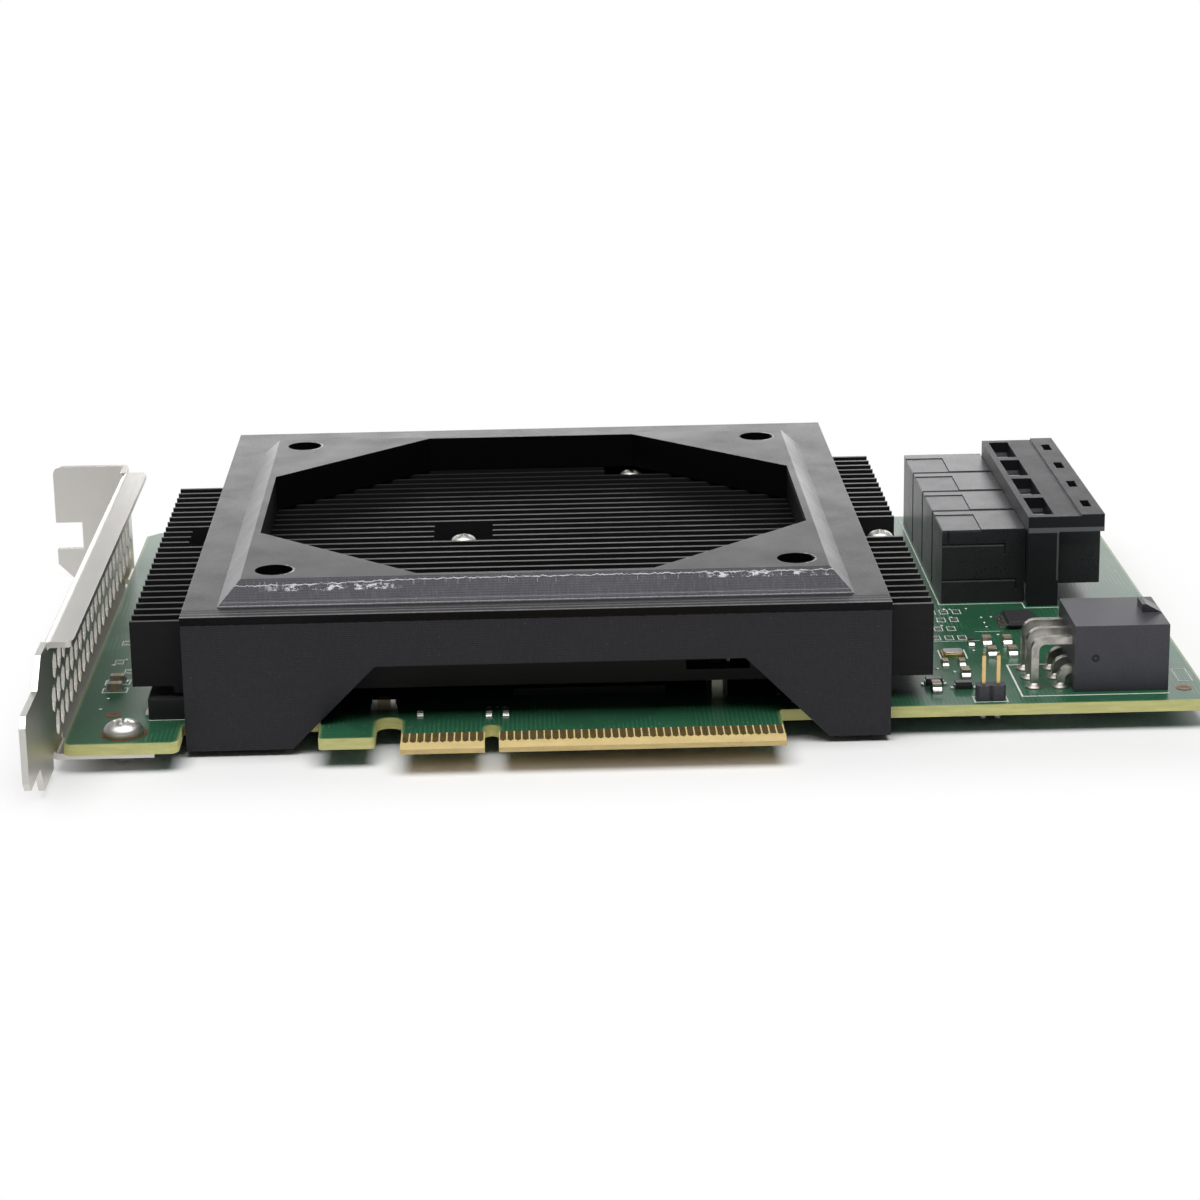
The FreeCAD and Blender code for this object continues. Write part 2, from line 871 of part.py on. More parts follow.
def side_grooves(y):
    """Shallow moulding grooves along a port's side, each with a hook at its end."""
    depth = (y, y + groove_depth)
    upper = port_top - upper_groove_drop
    lower = board_top + lower_groove_rise
    grooves = []
    for z, run in ((upper, upper_groove_length), (lower, lower_groove_length)):
        end = port_left + run
        grooves.append(block((port_left, end), depth, (z, z + groove_width)))
        grooves.append(block((end - groove_width, end), depth, (z - groove_hook, z)))
    corner_x = port_left + corner_groove_inset
    grooves.append(block((corner_x, corner_x + groove_width), depth, (upper, port_top)))
    return grooves


def contact_block(y):
    """Insert at the back of a port, with two slots for the plug's contact cards."""
    back = port_front - socket_depth
    front = back + contact_block_length
    low = board_top + nose_lift + nose_wall
    high = port_top - nose_wall
    width = nose_width - 2 * nose_wall
    insert = block((back, front), about(y, width), (low, high))
    slots = []
    for z in about((low + high) / 2, contact_slot_spacing):
        slots.append(block((front - contact_slot_depth, front), about(y, width - 2 * contact_slot_inset),
                           about(z, contact_slot_height)))
    return insert.cut(Part.makeCompound(slots))


def port_cover():
    """Cover that gangs the ports: a windowed plate on two end walls."""
    left = port_left + port_body_length + cover_fit
    right = port_front + cover_overhang
    low_y = port_first_y - nose_width / 2 - cover_wall - cover_fit
    high_y = port_places()[-1] + nose_width / 2 + cover_wall + cover_fit
    low = port_top + cover_fit
    top = low + cover_thickness
    step_x = right - cover_front_strip
    plate = prism([
        (left, low), (right, low), (right, top + cover_front_step),
        (step_x, top + cover_front_step), (step_x, top), (left, top),
    ], "y", low_y, high_y)
    wall_x = (left, left + cover_wall_length)
    walls = [block(wall_x, (low_y, low_y + cover_wall), (board_top, low)),
             block(wall_x, (high_y - cover_wall, high_y), (board_top, low))]
    cuts = []
    for y in port_places():
        cuts.append(block((left + window_inset, left + window_inset + window_length),
                          about(y, nose_width), (low, top)))
        slot_x = (right - latch_slot_inset - latch_slot_width, right - latch_slot_inset)
        cuts.append(block(slot_x, about(y, latch_slot_length), (low, top + cover_front_step)))
    return join([plate] + walls).cut(Part.makeCompound(cuts))


def power_pocket_outline(y, z):
    """Socket of one power contact, with two corners cut off as a key."""
    half = power_pocket / 2
    cut = power_pocket_chamfer
    return [
        (y - half, z - half), (y + half, z - half), (y + half, z + half - cut),
        (y + half - cut, z + half), (y - half + cut, z + half), (y - half, z + half - cut),
    ]


def power_housing():
    """Power inlet's housing, with its sockets, pin holes and latch ramp."""
    right = power_left + power_length
    top = board_top + power_height
    shell = block((power_left, right), about(power_centre_y, power_width), (board_top, top))
    latch_left = right - power_latch_length
    latch = prism([
        (latch_left, top), (right, top), (latch_left + power_latch_flat, top + power_latch_height),
        (latch_left, top + power_latch_height),
    ], "y", *about(power_centre_y + power_latch_shift, power_latch_width))
    cuts = []
    hole = power_pin_size + 2 * pin_clearance
    for x, y, z in power_pins():
        cuts.append(prism(power_pocket_outline(y, z), "x", right - power_pocket_depth, right))
        cuts.append(block((power_left, right - power_pocket_depth), about(y, hole), about(z, hole)))
    return join([shell, latch]).cut(Part.makeCompound(cuts))


def power_pin(leg_x, y, z):
    """Square pin that runs out of the housing and bends down through the board."""
    half = power_pin_size / 2
    end = power_left + power_length - power_pocket_depth + power_pin_inside
    corners = [
        (leg_x - half, -pin_tip_drop),
        (leg_x + half, -pin_tip_drop),
        (leg_x + half, z - half, power_pin_bend),
        (end, z - half),
        (end, z + half),
        (leg_x - half, z + half, power_pin_bend + power_pin_size),
    ]
    return prism(corners, "y", *about(y, power_pin_size))


def jumper_base():
    """Moulded base of the jumper header, with a groove between its two halves."""
    half = jumper_pitch / 2
    cut = jumper_corner
    units = []
    for x in jumper_places():
        y = jumper_centre_y
        units.append(prism([
            (x - half + cut, y - half), (x + half - cut, y - half), (x + half, y - half + cut),
            (x + half, y + half - cut), (x + half - cut, y + half), (x - half + cut, y + half),
            (x - half, y + half - cut), (x - half, y - half + cut),
        ], "z", board_top, board_top + jumper_base_height))
    hole = jumper_pin_size + 2 * pin_clearance
    span = (board_top, board_top + jumper_base_height)
    holes = [block(about(x, hole), about(jumper_centre_y, hole), span) for x in jumper_places()]
    return join(units).cut(Part.makeCompound(holes))


def jumper_pin(x):
    """Square jumper pin with a pointed top."""
    half = jumper_pin_size / 2
    y = jumper_centre_y
    top = board_top + jumper_base_height + jumper_pin_height
    shank = block(about(x, jumper_pin_size), about(y, jumper_pin_size), (-pin_tip_drop, top))
    foot = [(x - half, y - half), (x + half, y - half), (x + half, y + half), (x - half, y + half)]
    tip = [(x + (u - x) / 2, y + (v - y) / 2) for u, v in foot]
    wires = [outline(foot, "z", top), outline(tip, "z", top + jumper_pin_point)]
    return join([shank, Part.makeLoft(wires, True, True)])


def interface_chip():
    """Moulded body of the twenty-lead chip, with sloping sides."""
    low = board_top + chip_lift
    middle = low + chip_body_height / 2
    wires = []
    for level, inset in ((low, chip_draft), (middle, 0), (low + chip_body_height, chip_draft)):
        left, right = about(chip_x, chip_width - 2 * inset)
        front, rear = about(chip_y, chip_length - 2 * inset)
        wires.append(outline([(left, front), (right, front), (right, rear), (left, rear)], "z", level))
    return join([Part.makeLoft(wires[:2], True, True), Part.makeLoft(wires[1:], True, True)])


def interface_leads():
    """Leads that slope down to flat feet along both sides of the twenty-lead chip."""
    seat = board_top + chip_lift + chip_body_height / 2
    thick = chip_lead_thickness
    leads = []
    for side in (-1, 1):
        root = chip_x + side * chip_width / 2
        end = root + side * chip_lead_reach
        heel = end - side * chip_lead_foot
        for i in range(chip_leads_per_side):
            place = chip_y + (i - (chip_leads_per_side - 1) / 2) * chip_lead_pitch
            leads.append(prism([
                (root, seat), (root, seat + thick), (end, board_top + thick), (end, board_top),
                (heel, board_top),
            ], "y", *about(place, chip_lead_width)))
    return leads


def crystal_base():
    """Ceramic carrier of the timing crystal."""
    span = (board_top, board_top + crystal_base_height)
    return block(about(crystal_x, crystal_length), about(crystal_y, crystal_width), span)


def crystal_lid():
    """Metal lid of the timing crystal, with its corners cut off."""
    low = board_top + crystal_base_height
    lid = block(about(crystal_x, crystal_length - 2 * crystal_rim),
                about(crystal_y, crystal_width - 2 * crystal_rim), (low, low + crystal_lid_height))
    return cut_corners(lid, crystal_rim)


def power_choke():
    """Moulded choke beside the heatsink's front corner."""
    x = board_left + choke_left_gap + choke_size / 2
    y = board_front + choke_front_gap + choke_size / 2
    body = block(about(x, choke_size), about(y, choke_size), (board_top, board_top + choke_height))
    return cut_corners(body, choke_bevel)


def diode_places():
    """Middles of the two diode packs, from the jumper header towards the heatsink."""
    first_x = jumper_centre_x - diode_jumper_gap
    first_y = board_front + diode_front_gap
    return [(first_x - i * diode_pitch, first_y + i * diode_stagger) for i in range(2)]


def signal_diode(x, y):
    """Small moulded diode pack near the card's front edge."""
    side = diode_width / 2
    middle = board_top + diode_height / 2
    top = board_top + diode_height
    corners = [(y - side, board_top), (y + side, board_top), (y + side, middle),
               (y + side - diode_draft, top), (y - side + diode_draft, top), (y - side, middle)]
    return prism(corners, "x", *about(x, diode_length))


def chip_part(x, y, along, length, width, height):
    """Body and two end terminals of one surface-mounted chip part."""
    terminal = length * terminal_share
    solids = []
    for low, high in ((terminal - length / 2, length / 2 - terminal), (-length / 2, terminal - length / 2),
                      (length / 2 - terminal, length / 2)):
        if along == "x":
            spans = ((x + low, x + high), about(y, width))
        else:
            spans = (about(x, width), (y + low, y + high))
        solids.append(block(spans[0], spans[1], (board_top, board_top + height)))
    return solids


def chip_parts():
    """Bodies and terminals of the capacitors and resistors, by kind."""
    big = (big_chip_length, big_chip_width, big_chip_height)
    small = (small_chip_length, small_chip_width, small_chip_height)
    bulk = (bulk_cap_length, bulk_cap_width, bulk_cap_height)
    front = board_front
    grid_left = board_right - cap_grid_inset
    grid_front = front + cap_grid_gap
    left_cap_x = board_left + left_cap_inset
    bulk_x = guide_slot_left + bulk_cap_shift
    diode_x, diode_y = diode_places()[-1]
    capacitors = [
        (left_cap_x, front + left_cap_gap, "x", big),
        (left_cap_x, front + left_cap_gap + left_cap_pitch, "x", big),
        (bulk_x, front + bulk_cap_gap, "x", bulk),
        (board_right - filter_cap_inset, front + filter_cap_gap, "y", big),
        (diode_x, diode_y - diode_cap_gap, "y", big),
    ]
    for column in range(2):
        for row in range(2):
            x = grid_left + column * cap_grid_pitch_x
            capacitors.append((x, grid_front + row * cap_grid_pitch_y, "y", big))
    for x in about(crystal_x - load_cap_shift, load_cap_spacing):
        capacitors.append((x, crystal_y - load_cap_gap, "y", small))
    resistors = [
        (board_right - link_resistor_inset, front + link_resistor_gap, "y", small),
        (tongue_left + edge_resistor_inset, front + edge_resistor_gap, "y", small),
    ]
    for x in about(key_resistor_shift, key_resistor_spacing):
        resistors.append((x, front + key_resistor_gap, "y", small))
    kinds = []
    for places in (capacitors, resistors):
        made = [chip_part(x, y, along, *size) for x, y, along, size in places]
        bodies = [solids[0] for solids in made]
        terminals = [end for solids in made for end in solids[1:]]
        kinds.append((bodies, terminals))
    return kinds


def write_card():
    """Board, contacts, bracket and its screws."""
    export("circuit_board", circuit_board())
    front_level = (board_top, board_top + contact_thickness)
    export("edge_contacts_front", *edge_contacts(*front_level, presence_places()))
    export("edge_contacts_back", *edge_contacts(-contact_thickness, 0))
    export("mounting_bracket", mounting_bracket())
    export("bracket_screws", *[bracket_screw(x, y) for x, y in ear_screws])


def write_cooling():
    """Heatsink, its sprung screws, the processors under it and the shroud."""
    screws = heatsink_screws()
    export("heatsink", heatsink())
    export("heatsink_screws", *[heatsink_screw(x, y) for x, y in screws])
    export("heatsink_springs", *[coil_spring(x, y) for x, y in screws])
    export("heatsink_standoffs", *[standoff(x, y) for x, y in screws])
    for name, x, y, size in processor_places():
        export(name, processor(x, y, size))
        export(name + "_pad", thermal_pad(x, y, size))
    export("fan_shroud", fan_shroud())


def write_connectors():
    """Drive ports, power inlet and jumper header."""
    for i, y in enumerate(port_places(), 1):
        export("drive_port_" + str(i), drive_port(y))
        export("port_contact_block_" + str(i), contact_block(y))
    export("port_cover", port_cover())
    export("power_housing", power_housing())
    for i, (leg_x, y, z) in enumerate(power_pins(), 1):
        export("power_pin_" + str(i), power_pin(leg_x, y, z))
    export("jumper_base", jumper_base())
    for i, x in enumerate(jumper_places(), 1):
        export("jumper_pin_" + str(i), jumper_pin(x))


def write_small_parts():
    """Chips, crystal, choke and chip parts on the board."""
    export("interface_chip", interface_chip())
    export("interface_chip_leads", *interface_leads())
    export("crystal_base", crystal_base())
    export("crystal_lid", crystal_lid())
    export("power_choke", power_choke())
    for i, (x, y) in enumerate(diode_places(), 1):
        export("signal_diode_" + str(i), signal_diode(x, y))
    (cap_bodies, cap_ends), (resistor_bodies, resistor_ends) = chip_parts()
    export("capacitor_bodies", *cap_bodies)
    export("capacitor_terminals", *cap_ends)
    export("resistor_bodies", *resistor_bodies)
    export("resistor_terminals", *resistor_ends)


os.makedirs("parts", exist_ok=True)
write_card()
write_cooling()
write_connectors()
write_small_parts()
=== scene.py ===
import json
import math

import bmesh
import bpy
from bpy.props import FloatProperty, FloatVectorProperty, PointerProperty
from mathutils import Matrix, Vector


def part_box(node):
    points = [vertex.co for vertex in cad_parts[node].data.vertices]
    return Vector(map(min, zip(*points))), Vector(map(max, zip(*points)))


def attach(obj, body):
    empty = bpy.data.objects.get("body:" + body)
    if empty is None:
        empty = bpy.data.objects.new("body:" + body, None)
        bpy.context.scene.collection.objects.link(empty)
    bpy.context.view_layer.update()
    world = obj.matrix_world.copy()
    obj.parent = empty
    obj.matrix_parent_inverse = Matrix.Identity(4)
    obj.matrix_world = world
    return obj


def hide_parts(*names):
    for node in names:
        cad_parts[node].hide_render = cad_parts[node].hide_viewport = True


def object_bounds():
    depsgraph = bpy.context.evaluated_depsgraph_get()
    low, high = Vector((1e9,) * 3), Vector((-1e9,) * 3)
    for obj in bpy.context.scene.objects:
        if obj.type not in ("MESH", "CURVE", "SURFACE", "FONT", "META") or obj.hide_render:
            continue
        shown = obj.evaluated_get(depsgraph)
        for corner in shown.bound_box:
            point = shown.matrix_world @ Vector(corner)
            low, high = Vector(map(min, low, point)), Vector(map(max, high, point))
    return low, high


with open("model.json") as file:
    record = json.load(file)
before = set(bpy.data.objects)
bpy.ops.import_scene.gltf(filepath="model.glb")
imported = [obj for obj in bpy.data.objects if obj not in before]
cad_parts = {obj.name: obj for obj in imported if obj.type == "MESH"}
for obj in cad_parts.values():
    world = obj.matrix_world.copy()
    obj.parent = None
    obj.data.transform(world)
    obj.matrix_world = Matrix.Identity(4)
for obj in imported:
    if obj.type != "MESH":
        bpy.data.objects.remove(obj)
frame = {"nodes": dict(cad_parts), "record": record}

bl_info = {
    "name": "Host bus adapter looks",
    "version": (1, 0, 0),
    "blender": (4, 5, 0),
    "location": "View3D > Sidebar > Adapter",
    "description": "Finishes, printed outlines and solder for an expansion card with a fan shroud",
    "category": "Object",
}

CAD_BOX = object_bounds()
BODY = "root"
MM = 0.001

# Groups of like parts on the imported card
POWER_PINS = ["power_pin_%d" % i for i in range(1, 7)]
JUMPER_PINS = ["jumper_pin_%d" % i for i in range(1, 3)]
PORTS = ["drive_port_%d" % i for i in range(1, 5)]
PORT_BLOCKS = ["port_contact_block_%d" % i for i in range(1, 5)]
PROCESSORS = ["controller_chip_1", "controller_chip_2", "bridge_chip"]
DIODES = ["signal_diode_1", "signal_diode_2"]

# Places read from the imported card
BOARD_LOW, BOARD_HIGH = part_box("circuit_board")
CONTACTS_LOW, CONTACTS_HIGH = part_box("edge_contacts_front")
SHROUD_LOW, SHROUD_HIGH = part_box("fan_shroud")
SINK_LOW, SINK_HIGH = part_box("heatsink")
PORT_LOW, PORT_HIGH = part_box(PORTS[0])
LAST_PORT_LOW, LAST_PORT_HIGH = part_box(PORTS[-1])
PORT_PITCH = (LAST_PORT_LOW.y - PORT_LOW.y) / (len(PORTS) - 1)
COVER_LOW, COVER_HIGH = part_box("port_cover")
INLET_LOW, INLET_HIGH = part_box("power_housing")
JUMPER_LOW, JUMPER_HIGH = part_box("jumper_base")
FAN_HOLES = next(mount for mount in frame["record"]["mounts"] if mount["name"] == "fan_holes")
FAN_CENTRE = Vector(FAN_HOLES["pos_m"])
FAN_HALF_SPACING = FAN_HOLES["dims"]["spacing_x_mm"] * MM / 2
FAN_HOLE_RADIUS = FAN_HOLES["dims"]["hole_r_mm"] * MM

# Tint of the gloss on black plastics, and the gap between a part and its printed outline
COOL_GLOSS = (0.90, 0.885, 1.0, 1.0)
INK_MARGIN = 0.25 * MM


# Sizes and colours that a user would change

def colour(name, description, default):
    """A colour setting."""
    return FloatVectorProperty(name=name, description=description, subtype="COLOR", size=3,
                               min=0, max=1, default=default)


def length(name, description, default):
    """A length setting, given in millimetres and kept in metres."""
    return FloatProperty(name=name, description=description, unit="LENGTH", precision=5,
                         min=0, default=default * MM)


class AdapterColours(bpy.types.PropertyGroup):
    """Base colours of the card's finishes"""
    mask: colour("Solder mask", "Green coat on the board", (0.022, 0.100, 0.050))
    thin_mask: colour("Thin mask", "Green coat where it thins at the board's edges", (0.29, 0.36, 0.15))
    dust: colour("Dust", "Pale specks on the board", (0.40, 0.45, 0.40))
    laminate: colour("Laminate", "Bare glass laminate at the board's edges", (0.68, 0.67, 0.27))
    tongue_edge: colour("Tongue edge", "Golden bevel in front of the contacts", (0.72, 0.55, 0.24))
    # Painted shade and reflection of the contacts on the tongue beside them
    contact_shade_colour: colour("Contact rim", "Tongue close to its contacts", (0.10, 0.066, 0.036))
    gold: colour("Gold", "Plating of the contacts and jumper pins", (0.80, 0.56, 0.24))
    steel: colour("Bracket steel", "Plated sheet of the bracket", (0.70, 0.68, 0.64))
    screw: colour("Screw steel", "Bright plating of the screws", (0.88, 0.86, 0.82))
    anodised: colour("Anodised black", "Fins and base of the heatsink", (0.0155, 0.0155, 0.016))
    # Lighter fin tops, partly painted light: shown more where the shroud's shade falls
    fin_top: colour("Fin tops", "Rubbed tops of the heatsink's fins", (0.024, 0.024, 0.025))
    printed: colour("Printed plastic", "Fan shroud", (0.0102, 0.0100, 0.0108))
    torn: colour("Torn plastic", "Pale scars on the shroud", (0.80, 0.80, 0.81))
    moulded: colour("Moulded plastic", "Drive ports and chips", (0.030, 0.0295, 0.0315))
    cover: colour("Cover plastic", "Cover over the drive ports", (0.014, 0.0137, 0.015))
    inlet: colour("Inlet plastic", "Power inlet and jumper header", (0.058, 0.058, 0.066))
    catch: colour("Catch plastic", "Latch catches of the drive ports", (0.11, 0.11, 0.12))
    # Pale colour of the painted highlight along moulded edges
    painted_edge_highlight: colour("Rubbed edge", "Edges of the moulded plastic", (0.30, 0.30, 0.32))
    shaded: colour("Shaded plastic", "Black plastic that is out of the light", (0.0025, 0.0025, 0.003))
    tin: colour("Tin", "Power pins, leads and pads", (0.56, 0.54, 0.49))
    copper: colour("Copper", "Rings round the bracket screws", (0.34, 0.16, 0.09))
    solder: colour("Solder", "Beads and fillets of solder", (0.82, 0.81, 0.78))
    ceramic: colour("Ceramic", "Capacitor bodies", (0.34, 0.26, 0.17))
    film: colour("Film", "Resistor bodies", (0.012, 0.012, 0.012))
    choke: colour("Choke", "Body of the choke", (0.014, 0.014, 0.016))
    pad: colour("Soft pad", "Pads on the processors", (0.42, 0.42, 0.45))
    ink: colour("Ink", "Printed outlines on the board", (0.74, 0.76, 0.72))
    thin_ink: colour("Thin ink", "Printed outlines where the green shows", (0.35, 0.42, 0.38))
    floor: colour("Floor", "Plain pale floor", (0.92, 0.92, 0.92))


class AdapterSizes(bpy.types.PropertyGroup):
    """Sizes of the surface detail"""
    layer: length("Print layer", "Height of one printed layer", 0.28)
    plateau_rise: length("Plateau rise", "From the shroud's deck to its raised square", 3.1)
    # The dark band is painted shade under the deck's edge
    lip: length("Lip", "Height of the dark band under the edge of the shroud's deck", 0.95)
    raster: length("Print line", "Width of one printed line on flat tops", 0.45)
    contact_pitch: length("Contact pitch", "Spacing of the edge contacts", 1.0)
    trace: length("Trace pitch", "Spacing of the copper lines under the mask", 0.62)
    ink_width: length("Ink width", "Width of a printed outline", 0.2)
    ink_height: length("Ink height", "Thickness of the printed ink", 0.02)
    pad_height: length("Pad height", "Thickness of a tinned pad", 0.04)
    solder_height: length("Solder height", "Rise of the solder up a pin of a millimetre", 0.7)
    fillet_reach: length("Fillet reach", "Reach of the solder at a chip part's end", 0.5)
    footprint_length: length("Footprint length", "Length of an empty part's outline", 2.1)
    footprint_width: length("Footprint width", "Width of an empty part's outline", 1.15)
    test_pad: length("Test pad", "Radius of a bare test pad", 0.34)
    camera_distance: length("Camera distance", "From the camera to the point it looks at", 453.66)
    floor_size: length("Floor size", "Side of the floor", 6000)


# Shader maths

def math_method(operation, swapped=False):
    """A method that joins a signal and another value in a Math node, in swapped order if asked."""
    def method(self, other=0.0):
        first, second = (other, self) if swapped else (self, other)
        return self.finish.node("ShaderNodeMath", {"operation": operation}, {0: first, 1: second})
    return method


class Signal:
    """A socket among a finish's nodes, on which sums and products add Math nodes."""

    def __init__(self, finish, socket):
        self.finish = finish
        self.socket = socket

    __add__ = math_method("ADD")
    __radd__ = math_method("ADD", swapped=True)
    __sub__ = math_method("SUBTRACT")
    __rsub__ = math_method("SUBTRACT", swapped=True)
    __mul__ = math_method("MULTIPLY")
    __rmul__ = math_method("MULTIPLY", swapped=True)
    __truediv__ = math_method("DIVIDE")
    __rtruediv__ = math_method("DIVIDE", swapped=True)
    __pow__ = math_method("POWER")
    __rpow__ = math_method("POWER", swapped=True)
    __lt__ = math_method("LESS_THAN")
    __gt__ = math_method("GREATER_THAN")
    __abs__ = math_method("ABSOLUTE")
    fraction = math_method("FRACT")
    at_most = math_method("MINIMUM")
    at_least = math_method("MAXIMUM")

    def other(self, output):
        """Another output of the same node."""
        return Signal(self.finish, self.socket.node.outputs[output])


class Nodes:
    """A node tree to which nodes are added one call at a time."""

    def __init__(self, tree):
        self.tree = tree

    def node(self, kind, settings=None, inputs=None, output=0):
        """Add a node: its settings first, then the values or links of its sockets."""
        made = self.tree.nodes.new(kind)
        for name, value in (settings or {}).items():
            setattr(made, name, value)
        for key, value in (inputs or {}).items():
            if isinstance(value, Signal):
                self.tree.links.new(value.socket, made.inputs[key])
            else:
                made.inputs[key].default_value = value
        return Signal(self, made.outputs[output])

    def ramp(self, signal, low, high, start=0.0, end=1.0):
        """Smooth step of a signal from start to end as it goes from low to high."""
        settings = {"interpolation_type": "SMOOTHSTEP"}
        inputs = {"Value": signal, "From Min": low, "From Max": high, "To Min": start, "To Max": end}
        return self.node("ShaderNodeMapRange", settings, inputs)

    def band(self, signal, low, high, soft):
        """1 between two limits, falling to 0 over a soft margin outside them."""
        return self.ramp(signal, low - soft, low) * self.ramp(signal, high, high + soft, 1.0, 0.0)

    def choose(self, factor, first, second):
        """Number between two numbers."""
        return self.node("ShaderNodeMix", inputs={0: factor, 2: first, 3: second})


class Finish(Nodes):
    """One procedural material: its nodes and the surface shader that they feed."""

    def __init__(self, name, **settings):
        self.material = bpy.data.materials.new(name)
        self.material.use_nodes = True
        super().__init__(self.material.node_tree)
        self.surface = self.tree.nodes["Principled BSDF"]
        for words, value in settings.items():
            socket = words.replace("_", " ").title().replace("Ior", "IOR")
            self.surface.inputs[socket].default_value = value
        self.place = self.node("ShaderNodeTexCoord", output="Object")
        self.x = self.node("ShaderNodeSeparateXYZ", inputs={0: self.place})
        self.y = self.x.other("Y")
        self.z = self.x.other("Z")
        self.facing = self.node("ShaderNodeNewGeometry", output="Normal")
        self.facing_x = self.node("ShaderNodeSeparateXYZ", inputs={0: self.facing})
        self.facing_y = self.facing_x.other("Y")
        self.facing_z = self.facing_x.other("Z")

    def feed(self, socket, signal):
        """Link a varying signal to one of the surface's sockets."""
        self.tree.links.new(signal.socket, self.surface.inputs[socket])

    def stretched(self, x, y, z):
        """Object coordinates scaled along each axis, for patterns with a grain."""
        return self.node("ShaderNodeMapping", inputs={"Vector": self.place, "Scale": (x, y, z)})

    def noise(self, feature, detail=2.0, roughness=0.5, vector=None):
        """Cloudy pattern from 0 to 1 whose features are about the given size across."""
        inputs = {"Vector": vector or self.place, "Scale": 1 / feature, "Detail": detail,
                  "Roughness": roughness}
        return self.node("ShaderNodeTexNoise", inputs=inputs)

    def cells(self, size, randomness=1.0, output="Distance"):
        """Scattered cells of about the given size: distance to the middle, or a random colour."""
        inputs = {"Vector": self.place, "Scale": 1 / size, "Randomness": randomness}
        return self.node("ShaderNodeTexVoronoi", inputs=inputs, output=output)

    def away_from(self, u, v):
        """Distance in a plane from where two signals are zero."""
        return (u * u + v * v) ** 0.5

    def mix(self, factor, first, second, blend="MIX"):
        """Colour between two colours."""
        settings = {"data_type": "RGBA", "blend_type": blend}
        inputs = {0: factor, 6: opaque(first), 7: opaque(second)}
        return self.node("ShaderNodeMix", settings, inputs, output=2)

    def shade(self, base, signal):
        """A colour made lighter or darker by a signal around 1."""
        grey = self.node("ShaderNodeCombineColor", inputs={0: signal, 1: signal, 2: signal})
        return self.mix(1.0, base, grey, "MULTIPLY")

    def edges(self, radius, gain=3.0):
        """Mask that is bright along convex and concave edges."""
        rounded = self.node("ShaderNodeBevel", {"samples": 6}, {"Radius": radius})
        inputs = {0: rounded, 1: self.facing}
        match = self.node("ShaderNodeVectorMath", {"operation": "DOT_PRODUCT"}, inputs, "Value")
        return ((1.0 - match) * gain).at_most(1.0)

    def bump(self, height, distance, strength=1.0, radius=0.0):
        """Feed the surface a bumped normal, over rounded edges if a radius is given."""
        inputs = {"Height": height, "Distance": distance, "Strength": strength}
        if radius > 0:
            inputs["Normal"] = self.node("ShaderNodeBevel", {"samples": 6}, {"Radius": radius})
        self.feed("Normal", self.node("ShaderNodeBump", inputs=inputs))

    def plain(self, base, roughness, gloss):
        """Shader of one even colour, to show in places of its own."""
        inputs = {"Base Color": opaque(base), "Roughness": roughness, "Specular IOR Level": gloss}
        return self.node("ShaderNodeBsdfPrincipled", inputs=inputs)

    def cover(self, factor, shader):
        """Show another shader in place of the surface where a factor is 1."""
        inputs = {0: factor, 1: Signal(self, self.surface.outputs[0]), 2: shader}
        both = self.node("ShaderNodeMixShader", inputs=inputs)
        self.tree.links.new(both.socket, self.tree.nodes["Material Output"].inputs["Surface"])


def opaque(value):
    """A colour with its alpha, or a signal as it is."""
    return value if isinstance(value, Signal) else (*value[:3], 1.0)


# Finishes

def solder_mask(colours, sizes):
    """Green coat over copper lines, with bare laminate at the edges and on the contact tongue, and painted
    shade beside the contacts.
    """
    f = Finish("solder_mask")
    patch = f.node("ShaderNodeSeparateColor", inputs={0: f.cells(9 * MM, 0.9, "Color")})
    along = f.choose(patch > 0.5, f.x, f.y)
    line = abs((along / sizes.trace).fraction() - 0.5)
    traces = f.ramp(line, 0.16, 0.22, 1.0, 0.0) * (patch.other("Green") > 0.38)
    via = f.cells(2.1 * MM, 0.95)
    via_pick = f.node("ShaderNodeSeparateColor", inputs={0: via.other("Color")}) > 0.66
    rings = f.band(via, 0.05, 0.1, 0.02) * via_pick
    cloud = f.noise(14 * MM, 3.0)
    margin = f.ramp(f.edges(0.9 * MM, 1.0), 0.02, 0.10)
    dust = f.ramp(f.noise(0.45 * MM, 2.0), 0.67, 0.73)
    coated = f.shade(colours.mask, 0.82 + cloud * 0.36 + traces * 0.42 + rings * 0.9)
    coated = f.mix(dust * 0.25, coated, colours.dust)
    green = f.mix(margin * 0.9, coated, colours.thin_mask)
    grain = f.noise(0.5 * MM, 3.0, 0.6, f.stretched(0.12, 0.12, 1.0))
    tongue_rear = CONTACTS_HIGH.y + 0.25 * MM
    on_tongue = (f.y < tongue_rear) * f.band(f.x, CONTACTS_LOW.x - MM, CONTACTS_HIGH.x + MM, 0.05 * MM)
    golden = on_tongue * (f.y < CONTACTS_LOW.y + 0.02 * MM)
    bare = f.mix(on_tongue * 0.6 + golden * 0.4, colours.laminate, colours.tongue_edge)
    # Painted shade and reflection: dark brown on the tongue along each contact, with a pale line left down
    # the middle of each gap
    from_contact = abs((f.x / sizes.contact_pitch).fraction() - 0.5)
    painted_contact_shade = on_tongue * (from_contact < 0.41) * (f.y > CONTACTS_LOW.y + 0.5 * MM)
    bare = f.mix(painted_contact_shade, f.shade(bare, 0.72 + grain * 0.5), colours.contact_shade_colour)
    exposed = (on_tongue + (abs(f.facing_z) < 0.7)).at_most(1.0)
    f.feed("Base Color", f.mix(exposed, green, bare))
    f.feed("Roughness", 0.27 + cloud * 0.1 + exposed * 0.35)
    f.bump(traces + rings + grain * exposed * 2.0, 0.02 * MM, 0.5)
    return f.material


